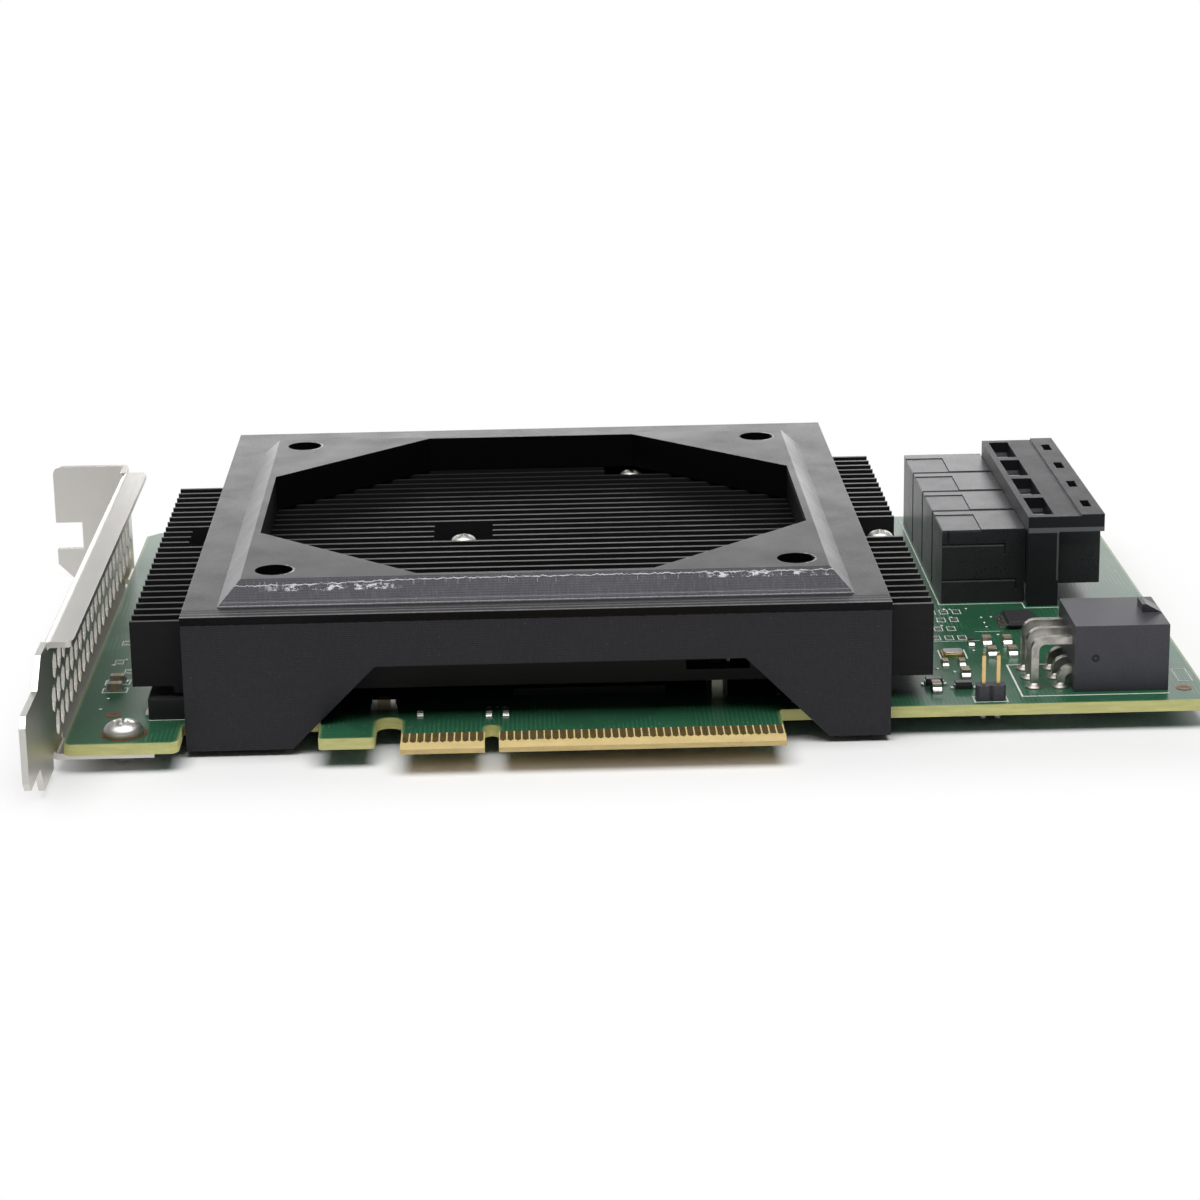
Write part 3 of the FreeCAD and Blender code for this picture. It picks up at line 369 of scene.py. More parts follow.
def gold_plate(colours, name, metallic=1.0):
    """Thin gold, scuffed in fine lines and a little dulled."""
    f = Finish(name, metallic=metallic)
    dull = f.noise(1.6 * MM, 3.0)
    rub = f.noise(0.3 * MM, 2.0, 0.6, f.stretched(1.0, 0.1, 1.0))
    f.feed("Base Color", f.shade(colours.gold, 0.8 + dull * 0.3))
    f.feed("Roughness", 0.16 + dull * 0.16 + rub * 0.1)
    f.bump(rub, 0.01 * MM, 0.3)
    return f.material


def plated_sheet(colours):
    """Plated sheet steel with a faint rolled grain and a painted highlight along its sheared edges."""
    f = Finish("plated_sheet", metallic=1.0)
    grain = f.noise(0.35 * MM, 3.0, 0.65, f.stretched(1.0, 0.06, 1.0))
    cloud = f.noise(9 * MM, 3.0)
    # Painted highlight along the sheared edges
    painted_edge_sheen = f.edges(0.18 * MM, 2.0)
    f.feed("Base Color", f.shade(colours.steel, 0.84 + cloud * 0.2 + painted_edge_sheen * 0.16))
    f.feed("Roughness", 0.26 + grain * 0.14 + cloud * 0.12)
    f.bump(grain, 0.012 * MM, 0.35, 0.1 * MM)
    return f.material


def bright_screw(colours):
    """Bright plating with light turning marks and a painted highlight along its edges."""
    f = Finish("bright_screw", metallic=1.0)
    marks = f.noise(0.4 * MM, 3.0)
    # Painted highlight along the edges
    painted_edge_sheen = f.edges(0.15 * MM, 1.5)
    f.feed("Base Color", f.shade(colours.screw, 0.78 + marks * 0.3 + painted_edge_sheen * 0.1))
    f.feed("Roughness", 0.36 + marks * 0.2)
    f.bump(marks, 0.02 * MM, 0.4, 0.12 * MM)
    return f.material


def mottled(name, base, feature, tone, rough, relief=None, **settings):
    """Finish of wire, pads, ceramic or copper, whose tone and roughness follow one cloudy pattern.

    Tone and roughness are each a level and how far the pattern moves it. Relief, where there is any, is
    the depth and strength of the pattern's bumps and the radius of the edges.
    """
    f = Finish(name, **settings)
    cloud = f.noise(feature, 3.0)
    f.feed("Base Color", f.shade(base, tone[0] + cloud * tone[1]))
    f.feed("Roughness", rough[0] + cloud * rough[1])
    if relief:
        f.bump(cloud, *relief)
    return f.material


def anodised_black(colours):
    """Black anodised fins drawn lengthwise, scuffed glossy on top, the tops painted lighter in the shroud's
    shade than to its left.
    """
    f = Finish("anodised_black", specular_ior_level=0.16)
    drawn = f.noise(0.4 * MM, 3.0, 0.6, f.stretched(0.04, 1.0, 1.0))
    patch = f.noise(6 * MM, 3.0, 0.6, f.stretched(0.3, 1.0, 1.0))
    tops = (f.z > SINK_HIGH.z - 0.04 * MM) * f.ramp(patch, 0.3, 0.6, 0.55, 1.0)
    # Painted light: the lighter, glossier tops show more under the shroud, where its shade falls, than on the
    # fins left of it
    painted_light_under_shroud = f.ramp(f.x, SHROUD_LOW.x - MM, SHROUD_LOW.x + MM, 0.45, 1.0)
    f.feed("Base Color", f.shade(colours.anodised, 0.7 + drawn * 0.6))
    f.feed("Roughness", 0.48 + drawn * 0.16)
    f.bump(drawn, 0.02 * MM, 0.3)
    f.cover(tops * painted_light_under_shroud, f.plain(colours.fin_top, 0.38, 0.44))
    return f.material


def printed_plastic(colours, sizes):
    """Printed black plastic: layered walls, laid lines on the tops, scars, painted edge highlights and
    painted shade in front and in the opening.
    """
    f = Finish("printed_plastic", specular_ior_level=0.4, specular_tint=COOL_GLOSS)
    deck = SHROUD_HIGH.z - sizes.plateau_rise
    edge = SHROUD_LOW.y
    strip_depth = 3.6 * MM
    flat = f.facing_z > 0.95
    slope = (f.facing_y < -0.5) * (f.facing_z > 0.5)
    layers = abs((f.z / sizes.layer).fraction() - 0.5) * 2.0
    laid = abs(((f.x + f.y) / (sizes.raster * math.sqrt(2))).fraction() - 0.5) * 2.0
    ridges = f.choose(flat, layers, laid * 0.3)
    cloud = f.noise(8 * MM, 5.0, 0.65)
    speck = f.noise(0.3 * MM, 2.0)
    streak = f.ramp(f.noise(0.22 * MM, 3.0, 0.6, f.stretched(1.0, 0.12, 0.16)), 0.44, 0.70)
    crumbs = f.ramp(f.noise(0.4 * MM, 2.0), 0.50, 0.60)
    scars = (front_slope_marks(f, (f.z - deck) / sizes.plateau_rise) * slope).at_most(1.0)
    strip = flat * (f.y < edge + strip_depth)
    lines = deck_edge_lines(f, strip, f.y - edge)
    grit = f.ramp(f.noise(0.5 * MM, 1.0), 0.70, 0.76)
    # Faint painted highlight along every edge, and pale crumbs along the front slope's edges
    painted_edge_sheen = f.edges(0.14 * MM, 1.2)
    teeth = rim_teeth(f)
    pale = scars + slope * streak * 0.03 + lines * 0.65 + pale_rim_marks(f, flat) * 0.5 + grit * 0.03
    pale = pale + painted_edge_sheen * (0.04 + slope * crumbs * 0.4) + teeth * 0.25
    dark = f.shade(colours.printed, 0.6 + cloud * 0.4 + speck * 0.4 + streak * 0.5)
    f.feed("Base Color", f.mix(pale.at_most(1.0), dark, colours.torn))
    f.feed("Roughness", 0.17 + cloud * 0.22 + speck * 0.14 + scars * 0.2 + strip * 0.2)
    f.bump(ridges + speck * 0.7 + scars * 2.0 + streak * slope * 0.8, 0.05 * MM, 0.35, 0.12 * MM)
    # Painted shade under the deck's front edge and on the opening's walls, lifted where the rim's teeth show
    f.cover(painted_shade_walls(f, deck, sizes.lip) * (0.9 - teeth * 0.7), painted_shade_black(f, colours))
    return f.material


def painted_shade_black(f, colours):
    """Shader of near-black plastic for painted shade, where the light doesn't reach."""
    return f.plain(colours.shaded, 0.55, 0.08)


def painted_shade_walls(f, deck, lip):
    """Mask of the shroud's painted shade: the band under the deck's front edge and the opening's walls."""
    wave = f.noise(1.1 * MM, 4.0, 0.7, f.stretched(1.0, 0.0, 0.0)) * 0.6 * MM
    at_front = f.y < SHROUD_LOW.y + 3 * MM
    under_edge = f.ramp(f.z + wave, deck - lip - 0.06 * MM, deck - lip) * at_front
    reach = abs(f.x - FAN_CENTRE.x).at_least(abs(f.y - FAN_CENTRE.y))
    in_opening = (reach < FAN_HALF_SPACING + 4 * MM) * (f.z > SINK_HIGH.z)
    return (under_edge * (f.facing_y < -0.3) + in_opening).at_most(1.0) * (abs(f.facing_z) < 0.6)


def rim_teeth(f):
    """Ends of the laid lines that show along the right side of the opening's rim."""
    teeth = abs((f.y / (0.55 * MM) + f.z / (0.9 * MM)).fraction() - 0.5) * 2.0
    near_top = f.ramp(f.z, SHROUD_HIGH.z - 1.6 * MM, SHROUD_HIGH.z - 0.6 * MM)
    return f.ramp(teeth, 0.5, 0.8) * near_top * (f.facing_x < -0.9) * (f.x > FAN_CENTRE.x)


def front_slope_marks(f, rise):
    """Torn lines and flecks on the shroud's front slope, by the share of the slope's rise."""
    along = f.stretched(1.0, 0.0, 0.0)
    middle = FAN_CENTRE.x
    sway = f.noise(1.3 * MM, 5.0, 0.75, along) - 0.5
    broken = f.ramp(f.noise(1.8 * MM, 4.0, 0.7, along), 0.38, 0.56, 0.25, 1.0)
    lowered = rise + f.ramp(f.x, middle - 36 * MM, middle - 12 * MM, 0.12, 0.0)
    upper = f.band(lowered - sway * 0.3, 0.866, 0.882, 0.014) * broken
    upright = f.ramp(f.noise(0.4 * MM, 2.0, 0.6, f.stretched(1.0, 0.1, 0.1)), 0.60, 0.68)
    ticks = upright * f.band(rise, 0.70, 0.86, 0.05)
    torn = f.ramp(f.noise(0.9 * MM, 6.0, 0.8, f.stretched(0.6, 1.0, 1.0)), 0.53, 0.56)
    swayed = rise - sway * 0.2
    left_part = f.band(f.x, middle - 34 * MM, middle - 21 * MM, 4 * MM)
    right_part = f.band(f.x, middle + 24 * MM, middle + 39 * MM, 2 * MM)
    flecks = torn * f.band(swayed, 0.56, 0.72, 0.05) * left_part
    flecks = flecks + torn * f.band(swayed, 0.70, 0.84, 0.04) * right_part
    crumbs = f.noise(0.35 * MM, 2.0)
    low_rise = rise - sway * 0.05
    lower = f.band(low_rise, 0.17, 0.182, 0.012) * 0.25
    foot = f.band(low_rise, 0.04, 0.055, 0.015) * crumbs * 0.7
    return upper + ticks * 0.35 + flecks * 0.9 + lower + foot


def deck_edge_lines(f, strip, from_edge):
    """Fine lines of paler plastic along the front edge of the shroud's deck."""
    crumbs = f.noise(0.5 * MM, 3.0)
    soft = 0.15 * MM
    rim = f.band(from_edge, 0.3 * MM, 0.55 * MM, soft) * 0.34
    line = f.band(from_edge, 1.6 * MM, 1.8 * MM, soft) * 0.26
    foot = f.band(from_edge, 2.7 * MM, 2.85 * MM, soft) * 0.16
    return strip * (rim + line + foot + 0.07) * (0.4 + crumbs * 1.2)


def pale_rim_marks(f, flat):
    """Pale marks on the flat top round the right side of each fan hole's rim."""
    from_column = abs(f.x - FAN_CENTRE.x) - FAN_HALF_SPACING
    from_row = abs(f.y - FAN_CENTRE.y) - FAN_HALF_SPACING
    torn_to = FAN_HOLE_RADIUS + 0.22 * MM
    rim = f.band(f.away_from(from_column, from_row), FAN_HOLE_RADIUS, torn_to, 0.15 * MM)
    columns = f.choose(f.x > FAN_CENTRE.x, -1.0, 1.0)
    right_side = f.ramp(from_column * columns, 0.6 * MM, 1.4 * MM)
    return flat * rim * right_side * f.ramp(f.noise(0.6 * MM, 3.0), 0.42, 0.56)


def moulded_black(colours, base, name, rough, pip=None, marks=(), pitch=None):
    """Moulded plastic with a fine spark texture and a patchy painted highlight along its edges.

    A moulding pip on its front with painted shade in its ring, painted highlights there between limits of X
    and
    Z, and painted shade along each gap between like parts at a pitch and on their left faces are added if
    given.
    """
    f = Finish(name, specular_ior_level=0.4, specular_tint=COOL_GLOSS)
    spark = f.noise(0.3 * MM, 3.0, 0.65)
    cloud = f.noise(4 * MM, 4.0, 0.6)
    front = f.facing_y < -0.9
    height = spark
    tone = 0.45 + cloud * 0.5 + spark * 0.8
    # Painted highlight along the edges, in patches
    painted_edge_highlight = f.edges(0.13 * MM, 1.6) * f.ramp(cloud, 0.3, 0.6, 0.35, 1.0) * 0.32
    if pip:
        # The ring's darker tone is painted shade in the groove that its bump makes
        ring = f.band(f.away_from(f.x - pip.x, f.z - pip.z), 0.25 * MM, 0.5 * MM, 0.1 * MM) * front
        height = spark - ring * 6.0
        tone = tone * (1.0 - ring * 0.8)
    soft = 0.08 * MM
    # The marks add painted highlights to the front
    for x_span, z_span, strength in marks:
        painted_edge_highlight = painted_edge_highlight + f.band(f.x, *x_span, soft) * f.band(f.z, *z_span, soft) * front * strength
    if pitch:
        # Painted shade: near-black along the rear edge of each port but the last, on its top and left face,
        # and part way on every left face
        gap = 0.7 * MM
        beyond = ((f.y - PORT_HIGH.y) / pitch).fraction() > 1.0 - gap / pitch
        left_face_shade = f.facing_x < -0.9
        gap_shade = beyond * (f.facing_z > 0.9).at_least(left_face_shade) * (f.y < LAST_PORT_HIGH.y - MM)
        f.cover(gap_shade.at_least(left_face_shade * 0.35), painted_shade_black(f, colours))
    f.feed("Base Color", f.mix(painted_edge_highlight, f.shade(base, tone), colours.painted_edge_highlight))
    f.feed("Roughness", rough - 0.08 + spark * 0.24 + cloud * 0.14)
    f.bump(height, 0.02 * MM, 0.4, 0.14 * MM)
    return f.material


def groove_highlights():
    """Painted highlights on the lips under the two grooves along a port's side, as limits of X and Z with a
    strength.
    """
    lip = 0.16 * MM
    lips = []
    for run, groove in ((9.6 * MM, PORT_HIGH.z - 2.5 * MM), (11.4 * MM, BOARD_HIGH.z + 3.4 * MM)):
        # Pale band where the groove's lower lip would catch light: painted highlight
        lips.append(((PORT_LOW.x, PORT_LOW.x + run), (groove - lip, groove), 0.24))
    return lips


def cover_highlights():
    """Painted highlights: a pale band in place of a lit ledge along the cover's front, and a pale line down
    the right edge of the wall below it.
    """
    plate_low = PORT_HIGH.z
    wall_low = BOARD_HIGH.z + 4 * MM
    wall_right = COVER_LOW.x + 4.6 * MM
    # Painted highlight standing in for a lit ledge
    ledge = ((COVER_LOW.x, COVER_HIGH.x), (plate_low, plate_low + 0.7 * MM), 0.6)
    wall_edge = ((wall_right - 0.25 * MM, wall_right), (wall_low, plate_low), 0.4)
    return [ledge, wall_edge]


def dull_tin(base, name, rough=0.22, streaks=0.0):
    """Tin plate or solder, dulled in patches, and streaked along bent pins if a strength is given."""
    f = Finish(name, metallic=1.0)
    frost = f.noise(0.6 * MM, 4.0, 0.65)
    cloud = f.noise(2.4 * MM, 2.0)
    tone = 0.66 + frost * 0.34 + cloud * 0.2
    height = frost
    if streaks > 0:
        streak = f.ramp(f.noise(0.35 * MM, 3.0, 0.6, f.stretched(0.12, 1.0, 0.12)), 0.38, 0.62)
        tone = tone - streak * streaks
        height = frost + streak
    f.feed("Base Color", f.shade(base, tone))
    f.feed("Roughness", rough + frost * 0.22)
    f.bump(height, 0.03 * MM, 0.4, 0.06 * MM)
    return f.material


def printed_ink(colours):
    """White ink, thin enough in places for the green to show."""
    f = Finish("printed_ink", specular_ior_level=0.4)
    thin = f.noise(0.5 * MM, 3.0)
    f.feed("Base Color", f.mix(f.ramp(thin, 0.58, 0.72), colours.ink, colours.thin_ink))
    f.feed("Roughness", 0.55 + thin * 0.15)
    return f.material


# Mesh building

def about(middle, size):
    """Limits of a span of a size about its middle."""
    return middle - size / 2, middle + size / 2


def on_board(height):
    """Limits in Z of something of a height that lies on the board's top."""
    return BOARD_HIGH.z, BOARD_HIGH.z + height


def slab(shape, x_span, y_span, z_span, bevel=0.0):
    """Add a block between limits, its upper edges bevelled if a size is given."""
    spans = (x_span, y_span, z_span)
    middle = Vector([(low + high) / 2 for low, high in spans])
    size = [high - low for low, high in spans]
    placed = Matrix.Translation(middle) @ Matrix.Diagonal((*size, 1))
    made = bmesh.ops.create_cube(shape, size=1.0, matrix=placed)
    if bevel > 0:
        edges = {e for v in made["verts"] for e in v.link_edges if all(u.co.z > middle.z for u in e.verts)}
        bmesh.ops.bevel(shape, geom=list(edges), offset=bevel, offset_type="OFFSET", affect="EDGES",
                        segments=2, profile=0.5, material=-1)


def drawn_out(shape, section, axis, span):
    """Add a section of (out, height) points drawn out along X (axis 0) or Y (axis 1) between limits."""
    low, high = span
    corners = [(low, out, z) if axis == 0 else (out, low, z) for out, z in section]
    face = shape.faces.new([shape.verts.new(corner) for corner in corners])
    made = bmesh.ops.extrude_face_region(shape, geom=[face])
    far_verts = [part for part in made["geom"] if isinstance(part, bmesh.types.BMVert)]
    way = Vector((high - low, 0, 0)) if axis == 0 else Vector((0, high - low, 0))
    bmesh.ops.translate(shape, verts=far_verts, vec=way)


def turned(shape, profile, x, y, closed=False, steps=24):
    """Add a shape turned about an upright axis from (radius, height) points.

    An open profile starts and ends on the axis, and a closed one makes a ring.
    """
    verts = [shape.verts.new((x + r, y, z)) for r, z in profile]
    pairs = list(zip(verts, verts[1:]))
    if closed:
        pairs.append((verts[-1], verts[0]))
    edges = [shape.edges.new(pair) for pair in pairs]
    bmesh.ops.spin(shape, geom=verts + edges, cent=(x, y, 0), axis=(0, 0, 1), angle=math.tau,
                   steps=steps, use_merge=True)
    bmesh.ops.remove_doubles(shape, verts=shape.verts, dist=1e-7)


def solid_boxes(name):
    """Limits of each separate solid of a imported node, as (low, high) corners."""
    shape = bmesh.new()
    shape.from_mesh(frame["nodes"][name].data)
    bmesh.ops.remove_doubles(shape, verts=shape.verts, dist=1e-6)
    boxes = []
    waiting = set(shape.verts)
    while waiting:
        island = [waiting.pop()]
        for vert in island:
            for edge in vert.link_edges:
                other = edge.other_vert(vert)
                if other in waiting:
                    waiting.remove(other)
                    island.append(other)
        spans = [[vert.co[axis] for vert in island] for axis in range(3)]
        boxes.append((Vector([min(span) for span in spans]), Vector([max(span) for span in spans])))
    shape.free()
    return sorted(boxes, key=lambda box: tuple(box[0]))


def rectangle(x_span, y_span):
    """Corners of a closed rectangle between limits."""
    (left, right), (front, rear) = x_span, y_span
    return [(left, front), (left, rear), (right, rear), (right, front), (left, front)]


def path_of_strips(shape, points, z_span, width):
    """Add a line of strips along X and Y between points."""
    for (x0, y0), (x1, y1) in zip(points, points[1:]):
        if abs(x1 - x0) < 1e-9:
            slab(shape, about(x0, width), (min(y0, y1) - width / 2, max(y0, y1) + width / 2), z_span)
        else:
            slab(shape, (min(x0, x1) + width / 2, max(x0, x1) - width / 2), about(y0, width), z_span)


def add_piece(name, shape, material, smooth=False):
    """Close a bmesh into a named piece that rides on the card."""
    bmesh.ops.recalc_face_normals(shape, faces=shape.faces)
    mesh = bpy.data.meshes.new(name)
    shape.to_mesh(mesh)
    shape.free()
    mesh.polygons.foreach_set("use_smooth", [smooth] * len(mesh.polygons))
    mesh.materials.append(material)
    piece = bpy.data.objects.new(name, mesh)
    bpy.context.scene.collection.objects.link(piece)
    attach(piece, BODY)
    return piece


def dress(material, *names):
    """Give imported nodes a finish."""
    for name in names:
        mesh = frame["nodes"][name].data
        mesh.materials.clear()
        mesh.materials.append(material)


# Operators

class AdapterOperator:
    """Undo, which the operators share."""
    bl_options = {"REGISTER", "UNDO"}


class ADAPTER_OT_board(AdapterOperator, bpy.types.Operator):
    """Finish the board and its gold contacts"""
    bl_idname = "adapter.board"
    bl_label = "Board and contacts"

    def execute(self, context):
        colours = context.scene.adapter_colours
        dress(solder_mask(colours, context.scene.adapter_sizes), "circuit_board")
        dress(gold_plate(colours, "contact_gold", 0.88), "edge_contacts_front", "edge_contacts_back")
        return {"FINISHED"}


class ADAPTER_OT_bracket(AdapterOperator, bpy.types.Operator):
    """Finish the bracket"""
    bl_idname = "adapter.bracket"
    bl_label = "Bracket"

    def execute(self, context):
        dress(plated_sheet(context.scene.adapter_colours), "mounting_bracket")
        return {"FINISHED"}


class ADAPTER_OT_cooling(AdapterOperator, bpy.types.Operator):
    """Finish the heatsink, what holds it and the processors under it"""
    bl_idname = "adapter.cooling"
    bl_label = "Heatsink"

    def execute(self, context):
        colours = context.scene.adapter_colours
        wire = mottled("spring_wire", colours.steel, 0.5 * MM, (0.9, 0.3), (0.28, 0.2), metallic=1.0)
        pad = mottled("soft_pad", colours.pad, 0.5 * MM, (0.85, 0.3), (0.7, 0.2), specular_ior_level=0.25)
        dress(anodised_black(colours), "heatsink")
        dress(wire, "heatsink_springs")
        dress(dull_tin(colours.tin, "standoff_plate"), "heatsink_standoffs")
        dress(moulded_black(colours, colours.moulded, "processor_mould", 0.5), *PROCESSORS)
        dress(pad, *[name + "_pad" for name in PROCESSORS])
        return {"FINISHED"}


class ADAPTER_OT_shroud(AdapterOperator, bpy.types.Operator):
    """Finish the printed fan shroud"""
    bl_idname = "adapter.shroud"
    bl_label = "Fan shroud"

    def execute(self, context):
        dress(printed_plastic(context.scene.adapter_colours, context.scene.adapter_sizes), "fan_shroud")
        return {"FINISHED"}


class ADAPTER_OT_connectors(AdapterOperator, bpy.types.Operator):
    """Finish the drive ports, power inlet and jumper header"""
    bl_idname = "adapter.connectors"
    bl_label = "Connectors"

    def execute(self, context):
        colours = context.scene.adapter_colours
        pip = INLET_LOW + Vector((2.85, 0, 4.8)) * MM
        port_mould = moulded_black(colours, colours.moulded, "port_mould", 0.2, marks=groove_highlights(),
                                   pitch=PORT_PITCH)
        dress(port_mould, *PORTS)
        dress(moulded_black(colours, colours.cover, "cover_mould", 0.36, marks=cover_highlights()), "port_cover")
        dress(moulded_black(colours, colours.inlet, "inlet_mould", 0.32, pip), "power_housing")
        dress(moulded_black(colours, colours.inlet, "header_mould", 0.4), "jumper_base")
        dress(moulded_black(colours, colours.moulded, "insert_mould", 0.55), *PORT_BLOCKS)
        dress(dull_tin(colours.tin, "pin_tin", streaks=0.36), *POWER_PINS)
        dress(gold_plate(colours, "pin_gold", 0.85), *JUMPER_PINS)
        return {"FINISHED"}


class ADAPTER_OT_small_parts(AdapterOperator, bpy.types.Operator):
    """Finish the chips, crystal, choke and chip parts"""
    bl_idname = "adapter.small_parts"
    bl_label = "Small parts"

    def execute(self, context):
        colours = context.scene.adapter_colours
        tin = dull_tin(colours.tin, "terminal_tin")
        dress(moulded_black(colours, colours.moulded, "chip_mould", 0.45), "interface_chip")
        dress(moulded_black(colours, colours.moulded, "diode_mould", 0.14), *DIODES)
        dress(tin, "interface_chip_leads", "capacitor_terminals", "resistor_terminals")
        dress(gold_plate(colours, "crystal_gold"), "crystal_base")
        dress(bright_screw(colours), "crystal_lid")
        relief = (0.02 * MM, 0.3, 0.08 * MM)
        for node, name, base, rough in (("power_choke", "choke_mould", colours.choke, 0.5),
                                        ("capacitor_bodies", "brown_ceramic", colours.ceramic, 0.35),
                                        ("resistor_bodies", "black_film", colours.film, 0.35)):
            dress(mottled(name, base, 0.4 * MM, (0.75, 0.5), (rough, 0.15), relief), node)
        return {"FINISHED"}


class ADAPTER_OT_screws(AdapterOperator, bpy.types.Operator):
    """Shape the bracket's and the heatsink's screws, with domed heads and cross recesses"""
    bl_idname = "adapter.screws"
    bl_label = "Screws"

    def execute(self, context):
        steel = bright_screw(context.scene.adapter_colours)
        for name, head_height in (("bracket_screws", 1.9 * MM), ("heatsink_screws", 1.6 * MM)):
            shape = bmesh.new()
            for i, (low, high) in enumerate(solid_boxes(name)):
                turn = 0.3 + 0.5 * i
                domed_screw(shape, low, high, high.z - head_height, turn)
            piece = add_piece("domed_" + name, shape, steel, smooth=True)
            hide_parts(name)
        return {"FINISHED"}


def domed_screw(shape, low, high, seat, turn):
    """Add a screw inside a packed screw's limits: a domed head with a cross recess, over a plain shank."""
    middle = (low + high) / 2
    radius = (high.x - low.x) / 2
    shank = radius * 0.5
    recess_reach = radius * 0.8
    recess_depth = radius * 0.22
    rings = 18
    squareness = 2.4
    profile = [(0, high.z)]
    for i in range(1, rings + 1):
        out = i / rings
        profile.append((radius * out, seat + (high.z - seat) * (1 - out ** squareness) ** (1 / squareness)))
    profile += [(shank, seat), (shank, low.z), (0, low.z)]
    turned(shape, profile, middle.x, middle.y, steps=64)
    for vert in shape.verts:
        place = Matrix.Rotation(turn, 2) @ (vert.co.xy - middle.xy)
        if place.length < recess_reach and vert.co.z > seat:
            vert.co.z -= recess_depth * cross_recess(place / radius)


def cross_recess(place):
    """Share of a cross recess's depth at a place on a head of radius 1."""
    half_width = 0.16
    arm = 0.60
    side_slope = 0.06
    end_slope = 0.2
    across, along = sorted((abs(place.x), abs(place.y)))
    return max(0.0, min(1.0, (half_width - across) / side_slope, (arm - along) / end_slope))


class ADAPTER_OT_catches(AdapterOperator, bpy.types.Operator):
    """Add the latch catches that show through the cover's windows"""
    bl_idname = "adapter.catches"
    bl_label = "Port catches"

    def execute(self, context):
        colours = context.scene.adapter_colours
        shape = bmesh.new()
        low = PORT_HIGH.z
        left = COVER_LOW.x + 0.9 * MM
        right = left + 1.9 * MM
        for name in PORT_BLOCKS:
            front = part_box(name)[0].y - 0.85 * MM
            hook = (front, front + 1.5 * MM)
            side = (front, front + 3.0 * MM)
            rear = about(front + 4.2 * MM, 0.5 * MM)
            slab(shape, (left, right), hook, (low, low + 2.2 * MM), 0.12 * MM)
            slab(shape, (right, right + 0.4 * MM), side, (low, low + 1.5 * MM), 0.1 * MM)
            slab(shape, (left, right), rear, (low, low + 1.3 * MM), 0.1 * MM)
        mould = moulded_black(colours, colours.catch, "catch_mould", 0.3)
        add_piece("port_catches", shape, mould)
        return {"FINISHED"}


class ADAPTER_OT_label_pads(AdapterOperator, bpy.types.Operator):
    """Add the blank pads that lie in the ports' label recesses"""
    bl_idname = "adapter.label_pads"
    bl_label = "Label pads"

    def execute(self, context):
        colours = context.scene.adapter_colours
        shape = bmesh.new()
        recess = 0.3 * MM
        step = 0.1 * MM
        fit = 0.05 * MM
        for name in PORTS:
            low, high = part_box(name)
            front = high.y - 11.4 * MM
            rear = front + 8.8 * MM
            right = low.x + 5.9 * MM
            slab(shape, (low.x + fit, right - fit), (front + fit, rear - fit),
                 (high.z - recess, high.z - step), fit)
        mould = moulded_black(colours, colours.moulded, "label_mould", 0.22)
        add_piece("label_pads", shape, mould)
        return {"FINISHED"}


class ADAPTER_OT_outlines(AdapterOperator, bpy.types.Operator):
    """Print the plain white outlines on the board"""
    bl_idname = "adapter.outlines"
    bl_label = "Printed outlines"

    def execute(self, context):
        sizes = context.scene.adapter_sizes
        ink = on_board(sizes.ink_height)
        shape = bmesh.new()
        for points, share in outline_paths() + outline_frames():
            path_of_strips(shape, points, ink, sizes.ink_width * share)
        add_piece("printed_outlines", shape, printed_ink(context.scene.adapter_colours))
        return {"FINISHED"}


def outline_paths():
    """Corners of the printed lines, each line with its share of the ink's width."""
    left = PORT_LOW.x - 0.45 * MM
    step = PORT_LOW.x + 12.1 * MM
    body_front = PORT_LOW.y + 0.4 * MM
    wall_front = COVER_LOW.y - 0.9 * MM
    round_ports = [(left, LAST_PORT_HIGH.y + 0.5 * MM), (left, body_front), (step, body_front),
                   (step, wall_front), (step + 5.8 * MM, wall_front)]
    inlet_left = INLET_LOW.x - 7.35 * MM
    inlet_front = INLET_LOW.y - 1.4 * MM
    inlet_rear = INLET_HIGH.y - 0.7 * MM
    round_inlet = [(INLET_LOW.x, inlet_rear), (inlet_left, inlet_rear), (inlet_left, inlet_front),
                   (INLET_HIGH.x + 0.1 * MM, inlet_front)]
    paths = [(round_ports, 1.0), (round_inlet, 1.3)]
    for start, end, ahead in ((10.1, 14.0, 13.75), (1.0, 10.3, 18.15)):
        y = PORT_LOW.y - ahead * MM
        paths.append(([(SINK_HIGH.x + start * MM, y), (SINK_HIGH.x + end * MM, y)], 0.6))
    low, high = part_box("crystal_base")
    for x in (low.x - INK_MARGIN, high.x + INK_MARGIN):
        paths.append(([(x, low.y - 2 * INK_MARGIN), (x, high.y + 4 * INK_MARGIN)], 1.0))
    low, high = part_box("power_choke")
    y = low.y - INK_MARGIN
    paths.append(([(low.x, y), (high.x, y)], 0.8))
    return paths


def outline_frames():
    """Corners of the printed rectangles, each with its share of the ink's width."""
    mark_left = INLET_HIGH.x + 2.3 * MM
    beside_inlet = rectangle((mark_left, mark_left + 1.9 * MM), about(INLET_LOW.y + 6.55 * MM, 5.5 * MM))
    round_jumper = rectangle((JUMPER_LOW.x - INK_MARGIN, JUMPER_HIGH.x + INK_MARGIN),
                             (JUMPER_LOW.y - INK_MARGIN, JUMPER_HIGH.y + INK_MARGIN))
    frames = [(beside_inlet, 0.7), (round_jumper, 1.0)]
    for low, high in solid_boxes("capacitor_bodies"):
        if high.x < SINK_LOW.x:
            middle = (low + high) / 2
            frames.append((rectangle(about(middle.x, 3.4 * MM), about(middle.y, 2.0 * MM)), 1.0))
    return frames


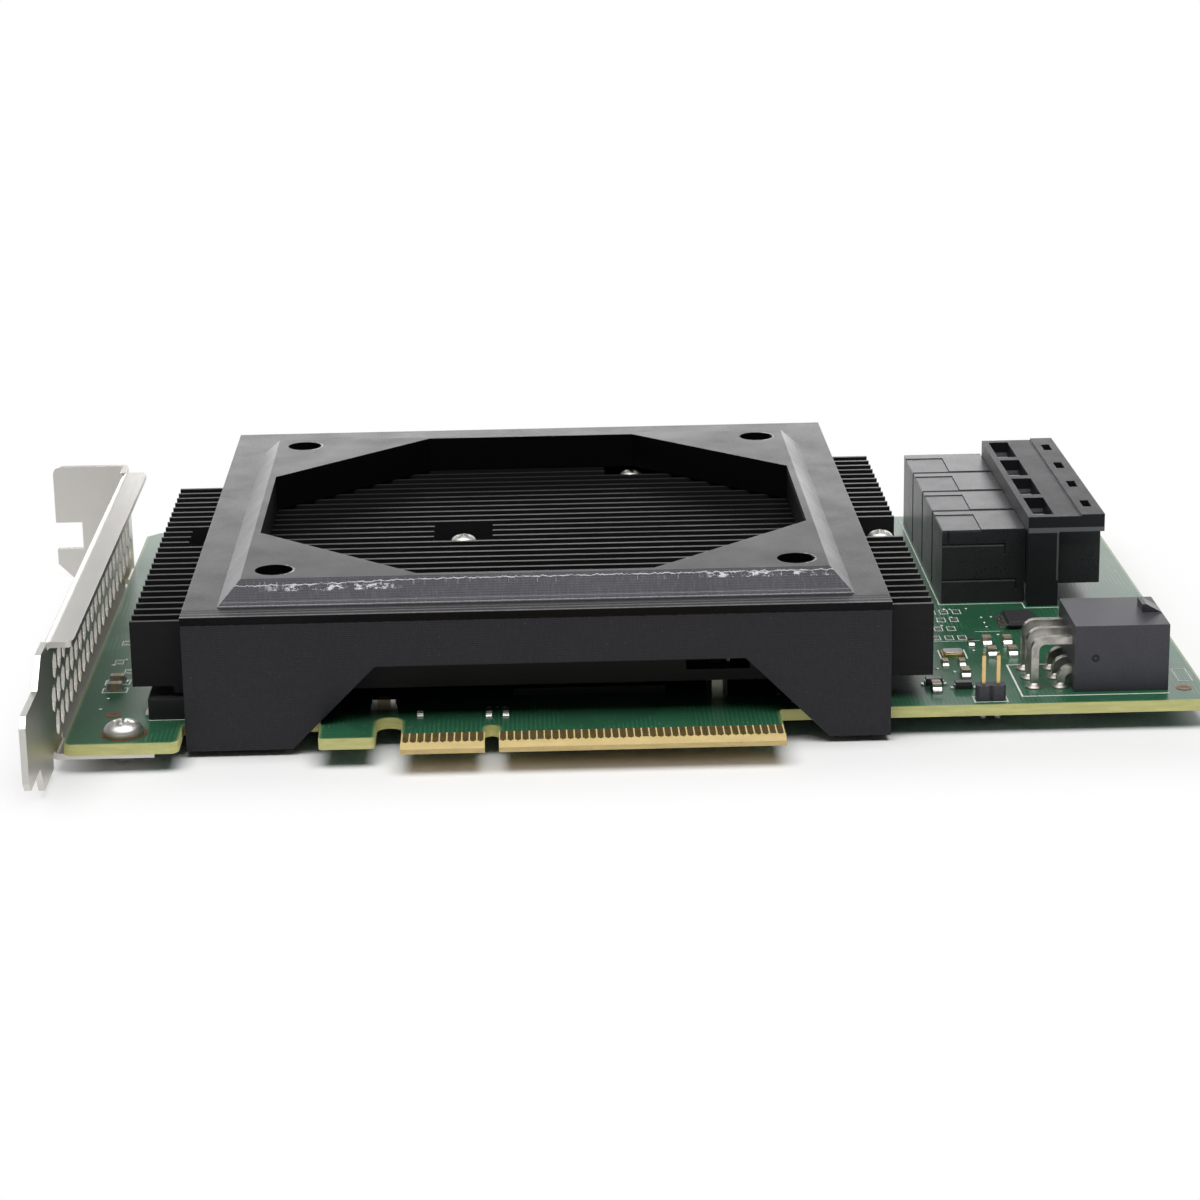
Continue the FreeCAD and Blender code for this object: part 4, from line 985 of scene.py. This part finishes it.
class ADAPTER_OT_footprints(AdapterOperator, bpy.types.Operator):
    """Add empty part footprints: pairs of tinned pads, each in a white outline"""
    bl_idname = "adapter.footprints"
    bl_label = "Empty footprints"

    def execute(self, context):
        colours = context.scene.adapter_colours
        sizes = context.scene.adapter_sizes
        pad_spacing = sizes.footprint_length * 0.6
        pad_length = sizes.footprint_length * 0.26
        pad_width = sizes.footprint_width * 0.62
        line_width = sizes.ink_width * 0.6
        pads = bmesh.new()
        frames = bmesh.new()
        for x, y in footprint_places():
            for end in about(y, pad_spacing):
                slab(pads, about(x, pad_width), about(end, pad_length), on_board(sizes.pad_height))
            corners = rectangle(about(x, sizes.footprint_width), about(y, sizes.footprint_length))
            path_of_strips(frames, corners, on_board(sizes.ink_height), line_width)
        add_piece("footprint_pads", pads, dull_tin(colours.tin, "pad_tin"))
        add_piece("footprint_frames", frames, printed_ink(colours))
        return {"FINISHED"}


def footprint_places():
    """Middles of the empty footprints: rows by the heatsink's right end and along the bracket."""
    pitch = 1.9 * MM
    shift = 0.9 * MM
    places = []
    for row, (count, rise) in enumerate(((4, 27.5), (3, 32.0), (4, 36.5), (4, 40.5))):
        start = SINK_HIGH.x + 2.2 * MM + shift * (row % 2)
        places += [(start + pitch * i, SINK_LOW.y + rise * MM) for i in range(count)]
    for i in range(9):
        x = BOARD_LOW.x + 3.4 * MM + pitch * (i % 2)
        places.append((x, SINK_LOW.y + (16 + 4.6 * i) * MM))
    return places


class ADAPTER_OT_test_pads(AdapterOperator, bpy.types.Operator):
    """Add the bare test pads, each a low bead of tin"""
    bl_idname = "adapter.test_pads"
    bl_label = "Test pads"

    def execute(self, context):
        radius = context.scene.adapter_sizes.test_pad
        tin = dull_tin(context.scene.adapter_colours.solder, "bead_solder")
        bead = ((0, 0), (1, 0), (0.8, 0.25), (0.4, 0.4), (0, 0.45))
        profile = [(radius * out, BOARD_HIGH.z + radius * up) for out, up in bead]
        shape = bmesh.new()
        for x, y in test_pad_places():
            turned(shape, profile, x, y, steps=16)
        add_piece("test_pads", shape, tin, smooth=True)
        return {"FINISHED"}


def test_pad_places():
    """Middles of the test pads: under the shroud's cutout, by the key notch, by the ports and on the left."""
    pitch = 1.85 * MM
    notch_pitch = 1.1 * MM
    by_ports = ((7.2, 2.0), (8.0, 2.1), (10.5, 1.9), (7.7, 6.2), (12.1, 6.5), (13.6, 6.4), (5.4, 8.3),
                (12.2, 9.2), (5.7, 10.4), (12.2, 11.4), (13.3, 15.4), (8.7, 22.7), (2.4, 31.0), (4.6, 32.6))
    on_left = ((3.3, 18.8), (3.8, 23.4), (5.6, 31.3), (2.7, 38.8), (4.3, 41.2))
    places = []
    for count, start, rise in ((3, 2.4, 14.7), (4, 0.6, 18.4)):
        places += [(CONTACTS_HIGH.x + start * MM + pitch * i, rise * MM) for i in range(count)]
    places += [(notch_pitch * i - 0.4 * MM, 15.8 * MM) for i in range(3)]
    places += [(SINK_HIGH.x + right * MM, PORT_LOW.y - ahead * MM) for right, ahead in by_ports]
    places += [(BOARD_LOW.x + right * MM, rise * MM) for right, rise in on_left]
    return places


class ADAPTER_OT_solder(AdapterOperator, bpy.types.Operator):
    """Add the solder round the pins and at the ends of the chip parts"""
    bl_idname = "adapter.solder"
    bl_label = "Solder"

    def execute(self, context):
        colours = context.scene.adapter_colours
        sizes = context.scene.adapter_sizes
        pin_end = 0.05 * MM
        cones = bmesh.new()
        for name in POWER_PINS + JUMPER_PINS:
            low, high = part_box(name)
            thick = high.y - low.y
            x = low.x + thick / 2
            y = (low.y + high.y) / 2
            solder_cone(cones, x, y, BOARD_HIGH.z, thick * 1.2, sizes.solder_height * thick / MM)
            solder_cone(cones, x, y, BOARD_LOW.z, thick * 1.5, low.z - pin_end - BOARD_LOW.z)
        tin = dull_tin(colours.tin, "cone_solder", 0.42)
        add_piece("pin_solder", cones, tin, smooth=True)
        fillets = bmesh.new()
        for part in ("capacitor", "resistor"):
            bodies = [(low + high) / 2 for low, high in solid_boxes(part + "_bodies")]
            for low, high in solid_boxes(part + "_terminals"):
                middle = (low + high) / 2
                body = min(bodies, key=lambda other: (other - middle).length)
                solder_fillet(fillets, low, high, middle - body, sizes.fillet_reach)
        add_piece("chip_solder", fillets, dull_tin(colours.solder, "fillet_solder"))
        return {"FINISHED"}


def solder_cone(shape, x, y, face, foot, rise):
    """Add a hollow-sided cone of solder that climbs a pin from the board's face."""
    cone = ((0, 0), (1, 0), (0.8, 0.25), (0.62, 0.6), (0.5, 1), (0, 1))
    turned(shape, [(foot * out, face + rise * up) for out, up in cone], x, y)


def solder_fillet(shape, low, high, outward, reach):
    """Add a full bead of solder against the outer end of a chip part's terminal."""
    along = 0 if abs(outward.x) > abs(outward.y) else 1
    reach = reach * (0.5 if along == 0 else 1.0)
    way = 1 if outward[along] > 0 else -1
    wall = high[along] if way > 0 else low[along]
    rise = high.z - low.z
    bead = ((0.0, 0.0), (1.0, 0.0), (0.88, 0.24), (0.5, 0.46), (0.0, 0.62))
    section = [(wall + way * reach * out, low.z + rise * up) for out, up in bead]
    across = 1 - along
    drawn_out(shape, section, across, (low[across], high[across]))


class ADAPTER_OT_end_leads(AdapterOperator, bpy.types.Operator):
    """Add the bent leads at the ends of the diode packs and of the choke"""
    bl_idname = "adapter.end_leads"
    bl_label = "End leads"

    def execute(self, context):
        shape = bmesh.new()
        for name, share in [(diode, 0.6) for diode in DIODES] + [("power_choke", 0.45)]:
            low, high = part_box(name)
            side = about((low.y + high.y) / 2, (high.y - low.y) * share)
            rise = (high.z - low.z) * share
            bent_lead(shape, low.x, -1, side, low.z, rise)
            bent_lead(shape, high.x, 1, side, low.z, rise)
        tin = dull_tin(context.scene.adapter_colours.solder, "lead_tin")
        add_piece("end_leads", shape, tin)
        return {"FINISHED"}


def bent_lead(shape, wall, way, side, foot, rise):
    """Add a lead that comes down a part's end wall and turns out along the board."""
    thick = 0.16 * MM
    bend = ((0.0, 0.0), (4.0, 0.0), (4.0, 1.0), (1.5, 1.0), (1.0, 1.5))
    section = [(wall + way * thick * out, foot + thick * up) for out, up in bend]
    section += [(wall + way * thick, foot + rise), (wall, foot + rise)]
    drawn_out(shape, section, 1, side)


class ADAPTER_OT_rings(AdapterOperator, bpy.types.Operator):
    """Add the bare copper rings round the bracket screws and at two of the board's corners"""
    bl_idname = "adapter.rings"
    bl_label = "Copper rings"

    def execute(self, context):
        base = context.scene.adapter_colours.copper
        copper = mottled("bare_copper", base, 0.8 * MM, (0.7, 0.6), (0.4, 0.2), metallic=1.0)
        level = on_board(context.scene.adapter_sizes.pad_height)
        shape = bmesh.new()
        for low, high in solid_boxes("bracket_screws"):
            middle = (low + high) / 2
            head = (high.x - low.x) / 2
            flat_ring(shape, middle.x, middle.y, head + 0.1 * MM, head + 0.5 * MM, level)
        by_inlet = (INLET_HIGH.x + 2.35 * MM, INLET_LOW.y + 0.7 * MM)
        by_bracket = (BOARD_LOW.x + 5.35 * MM, 16.2 * MM)
        for x, y in (by_inlet, by_bracket):
            flat_ring(shape, x, y, 0.4 * MM, 1.1 * MM, level)
        add_piece("copper_rings", shape, copper)
        return {"FINISHED"}


def flat_ring(shape, x, y, inner, outer, level):
    """Add a flat ring between two radii."""
    low, high = level
    turned(shape, [(inner, low), (outer, low), (outer, high), (inner, high)], x, y, closed=True, steps=40)


class ADAPTER_OT_stage(AdapterOperator, bpy.types.Operator):
    """Set up the floor, the light and the camera"""
    bl_idname = "adapter.stage"
    bl_label = "Stage"

    def execute(self, context):
        add_floor(context.scene.adapter_colours, context.scene.adapter_sizes)
        add_world(context.scene)
        add_lamps(context.scene)
        add_camera(context.scene, context.scene.adapter_sizes)
        context.scene.view_settings.view_transform = "Standard"
        return {"FINISHED"}


def add_floor(colours, sizes):
    """Plain pale floor at the card's lowest point, lifted to white away from the board.

    The camera and reflections see the lift, which throws no light of its own on the card.
    """
    shape = bmesh.new()
    level = Matrix.Translation((0, 0, CAD_BOX[0].z))
    bmesh.ops.create_grid(shape, x_segments=1, y_segments=1, size=sizes.floor_size / 2, matrix=level)
    mesh = bpy.data.meshes.new("floor")
    shape.to_mesh(mesh)
    shape.free()
    floor = bpy.data.objects.new("floor", mesh)
    bpy.context.scene.collection.objects.link(floor)
    f = Finish("floor_paint", roughness=0.9, specular_ior_level=0.1)
    f.surface.inputs["Base Color"].default_value = opaque(colours.floor)
    middle = (BOARD_LOW + BOARD_HIGH) / 2
    inset = 6 * MM
    reach = (BOARD_HIGH - BOARD_LOW) / 2 - Vector((inset, inset, 0))
    beyond_x = (abs(f.x - middle.x) - reach.x).at_least(0.0)
    beyond_y = (abs(f.y - middle.y) - reach.y).at_least(0.0)
    far = f.ramp(f.away_from(beyond_x, beyond_y), 0.0, 22 * MM)
    ray = f.node("ShaderNodeLightPath", output="Is Camera Ray")
    seen = (ray + ray.other("Is Glossy Ray") + ray.other("Is Transmission Ray")).at_most(1.0)
    white = f.node("ShaderNodeEmission", inputs={"Color": (1, 1, 1, 1), "Strength": 1.0})
    f.cover(far * seen, white)
    mesh.materials.append(f.material)


def add_world(scene):
    """White surroundings for the camera, and for light and reflections a dim room, white low at the back."""
    world = bpy.data.worlds.new("studio")
    scene.world = world
    world.use_nodes = True
    n = Nodes(world.node_tree)
    way = n.node("ShaderNodeTexCoord", output="Generated")
    x = n.node("ShaderNodeSeparateXYZ", inputs={0: way})
    back = n.ramp(x.other("Y"), 0.2, 0.7)
    low = n.ramp(x.other("Z"), 0.20, 0.34, 1.0, 0.0)
    light = 0.07 + back * 0.22 + back * low * 0.6
    ray = n.node("ShaderNodeLightPath", output="Is Camera Ray")
    strength = n.choose(ray, light, 1.0)
    n.tree.links.new(strength.socket, n.tree.nodes["Background"].inputs["Strength"])
    n.tree.nodes["Background"].inputs["Color"].default_value = (1, 1, 1, 1)


def add_lamps(scene):
    """Large soft lamp above the card and two low strips behind it, by place, size, watts and target."""
    add_lamp(scene, "overhead", (0.0, -0.13, 0.74), (0.9, 0.55), 6.6, (0.0, 0.05, 0.0))
    add_lamp(scene, "back_strip", (0.065, 0.21, 0.035), (0.28, 0.07), 0.0933, (0.065, 0.0, 0.02))
    add_lamp(scene, "left_strip", (-0.125, 0.21, 0.05), (0.07, 0.05), 0.035, (-0.035, 0.055, 0.02))


def add_lamp(scene, name, place, size, watts, target):
    """Rectangular lamp that faces a target and isn't seen itself."""
    lamp = bpy.data.lights.new(name, "AREA")
    lamp.shape = "RECTANGLE"
    lamp.size, lamp.size_y = size
    lamp.energy = watts
    holder = bpy.data.objects.new(name, lamp)
    holder.location = place
    holder.rotation_euler = (Vector(target) - Vector(place)).to_track_quat("-Z", "Y").to_euler()
    holder.visible_camera = False
    scene.collection.objects.link(holder)


def add_camera(scene, sizes):
    """Camera at the photograph's place, looking a little down on the contact edge."""
    elevation = 0.2876
    turn = -0.0250
    roll = -0.0161
    target = Vector((15.58, 37.71, 10.0)) * MM
    sensor = 36.0
    focal_share = 2.642
    level = math.cos(elevation)
    forward = Vector((-math.sin(turn) * level, math.cos(turn) * level, -math.sin(elevation)))
    right = forward.cross(Vector((0, 0, 1))).normalized()
    up = right.cross(forward)
    turned_right = right * math.cos(roll) + up * math.sin(roll)
    turned_up = up * math.cos(roll) - right * math.sin(roll)
    camera = bpy.data.cameras.new("camera")
    camera.sensor_width = sensor
    camera.lens = sensor * focal_share
    camera.clip_start = 0.01
    camera.clip_end = 100.0
    holder = bpy.data.objects.new("camera", camera)
    axes = Matrix((turned_right, turned_up, -forward)).transposed()
    holder.matrix_world = Matrix.Translation(target - forward * sizes.camera_distance) @ axes.to_4x4()
    scene.collection.objects.link(holder)
    scene.camera = holder


class ADAPTER_PT_panel(bpy.types.Panel):
    """Lists the card's operators and settings"""
    bl_idname = "ADAPTER_PT_panel"
    bl_label = "Host bus adapter"
    bl_space_type = "VIEW_3D"
    bl_region_type = "UI"
    bl_category = "Adapter"

    def draw(self, context):
        for operator in OPERATORS:
            self.layout.operator(operator.bl_idname)
        for group in (context.scene.adapter_colours, context.scene.adapter_sizes):
            column = self.layout.column()
            for name in group.__annotations__:
                column.prop(group, name)


OPERATORS = (ADAPTER_OT_board, ADAPTER_OT_bracket, ADAPTER_OT_cooling, ADAPTER_OT_shroud,
             ADAPTER_OT_connectors, ADAPTER_OT_small_parts, ADAPTER_OT_screws, ADAPTER_OT_catches,
             ADAPTER_OT_label_pads, ADAPTER_OT_outlines, ADAPTER_OT_footprints, ADAPTER_OT_test_pads,
             ADAPTER_OT_solder, ADAPTER_OT_end_leads, ADAPTER_OT_rings, ADAPTER_OT_stage)
CLASSES = (AdapterColours, AdapterSizes, *OPERATORS, ADAPTER_PT_panel)


def register():
    for cls in CLASSES:
        bpy.utils.register_class(cls)
    bpy.types.Scene.adapter_colours = PointerProperty(type=AdapterColours)
    bpy.types.Scene.adapter_sizes = PointerProperty(type=AdapterSizes)


def unregister():
    del bpy.types.Scene.adapter_sizes
    del bpy.types.Scene.adapter_colours
    for cls in reversed(CLASSES):
        bpy.utils.unregister_class(cls)


def main():
    """Register the add-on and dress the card."""
    register()
    bpy.ops.adapter.board()
    bpy.ops.adapter.bracket()
    bpy.ops.adapter.cooling()
    bpy.ops.adapter.shroud()
    bpy.ops.adapter.connectors()
    bpy.ops.adapter.small_parts()
    bpy.ops.adapter.screws()
    bpy.ops.adapter.catches()
    bpy.ops.adapter.label_pads()
    bpy.ops.adapter.outlines()
    bpy.ops.adapter.footprints()
    bpy.ops.adapter.test_pads()
    bpy.ops.adapter.solder()
    bpy.ops.adapter.end_leads()
    bpy.ops.adapter.rings()
    bpy.ops.adapter.stage()


if __name__ == "__main__":
    main()
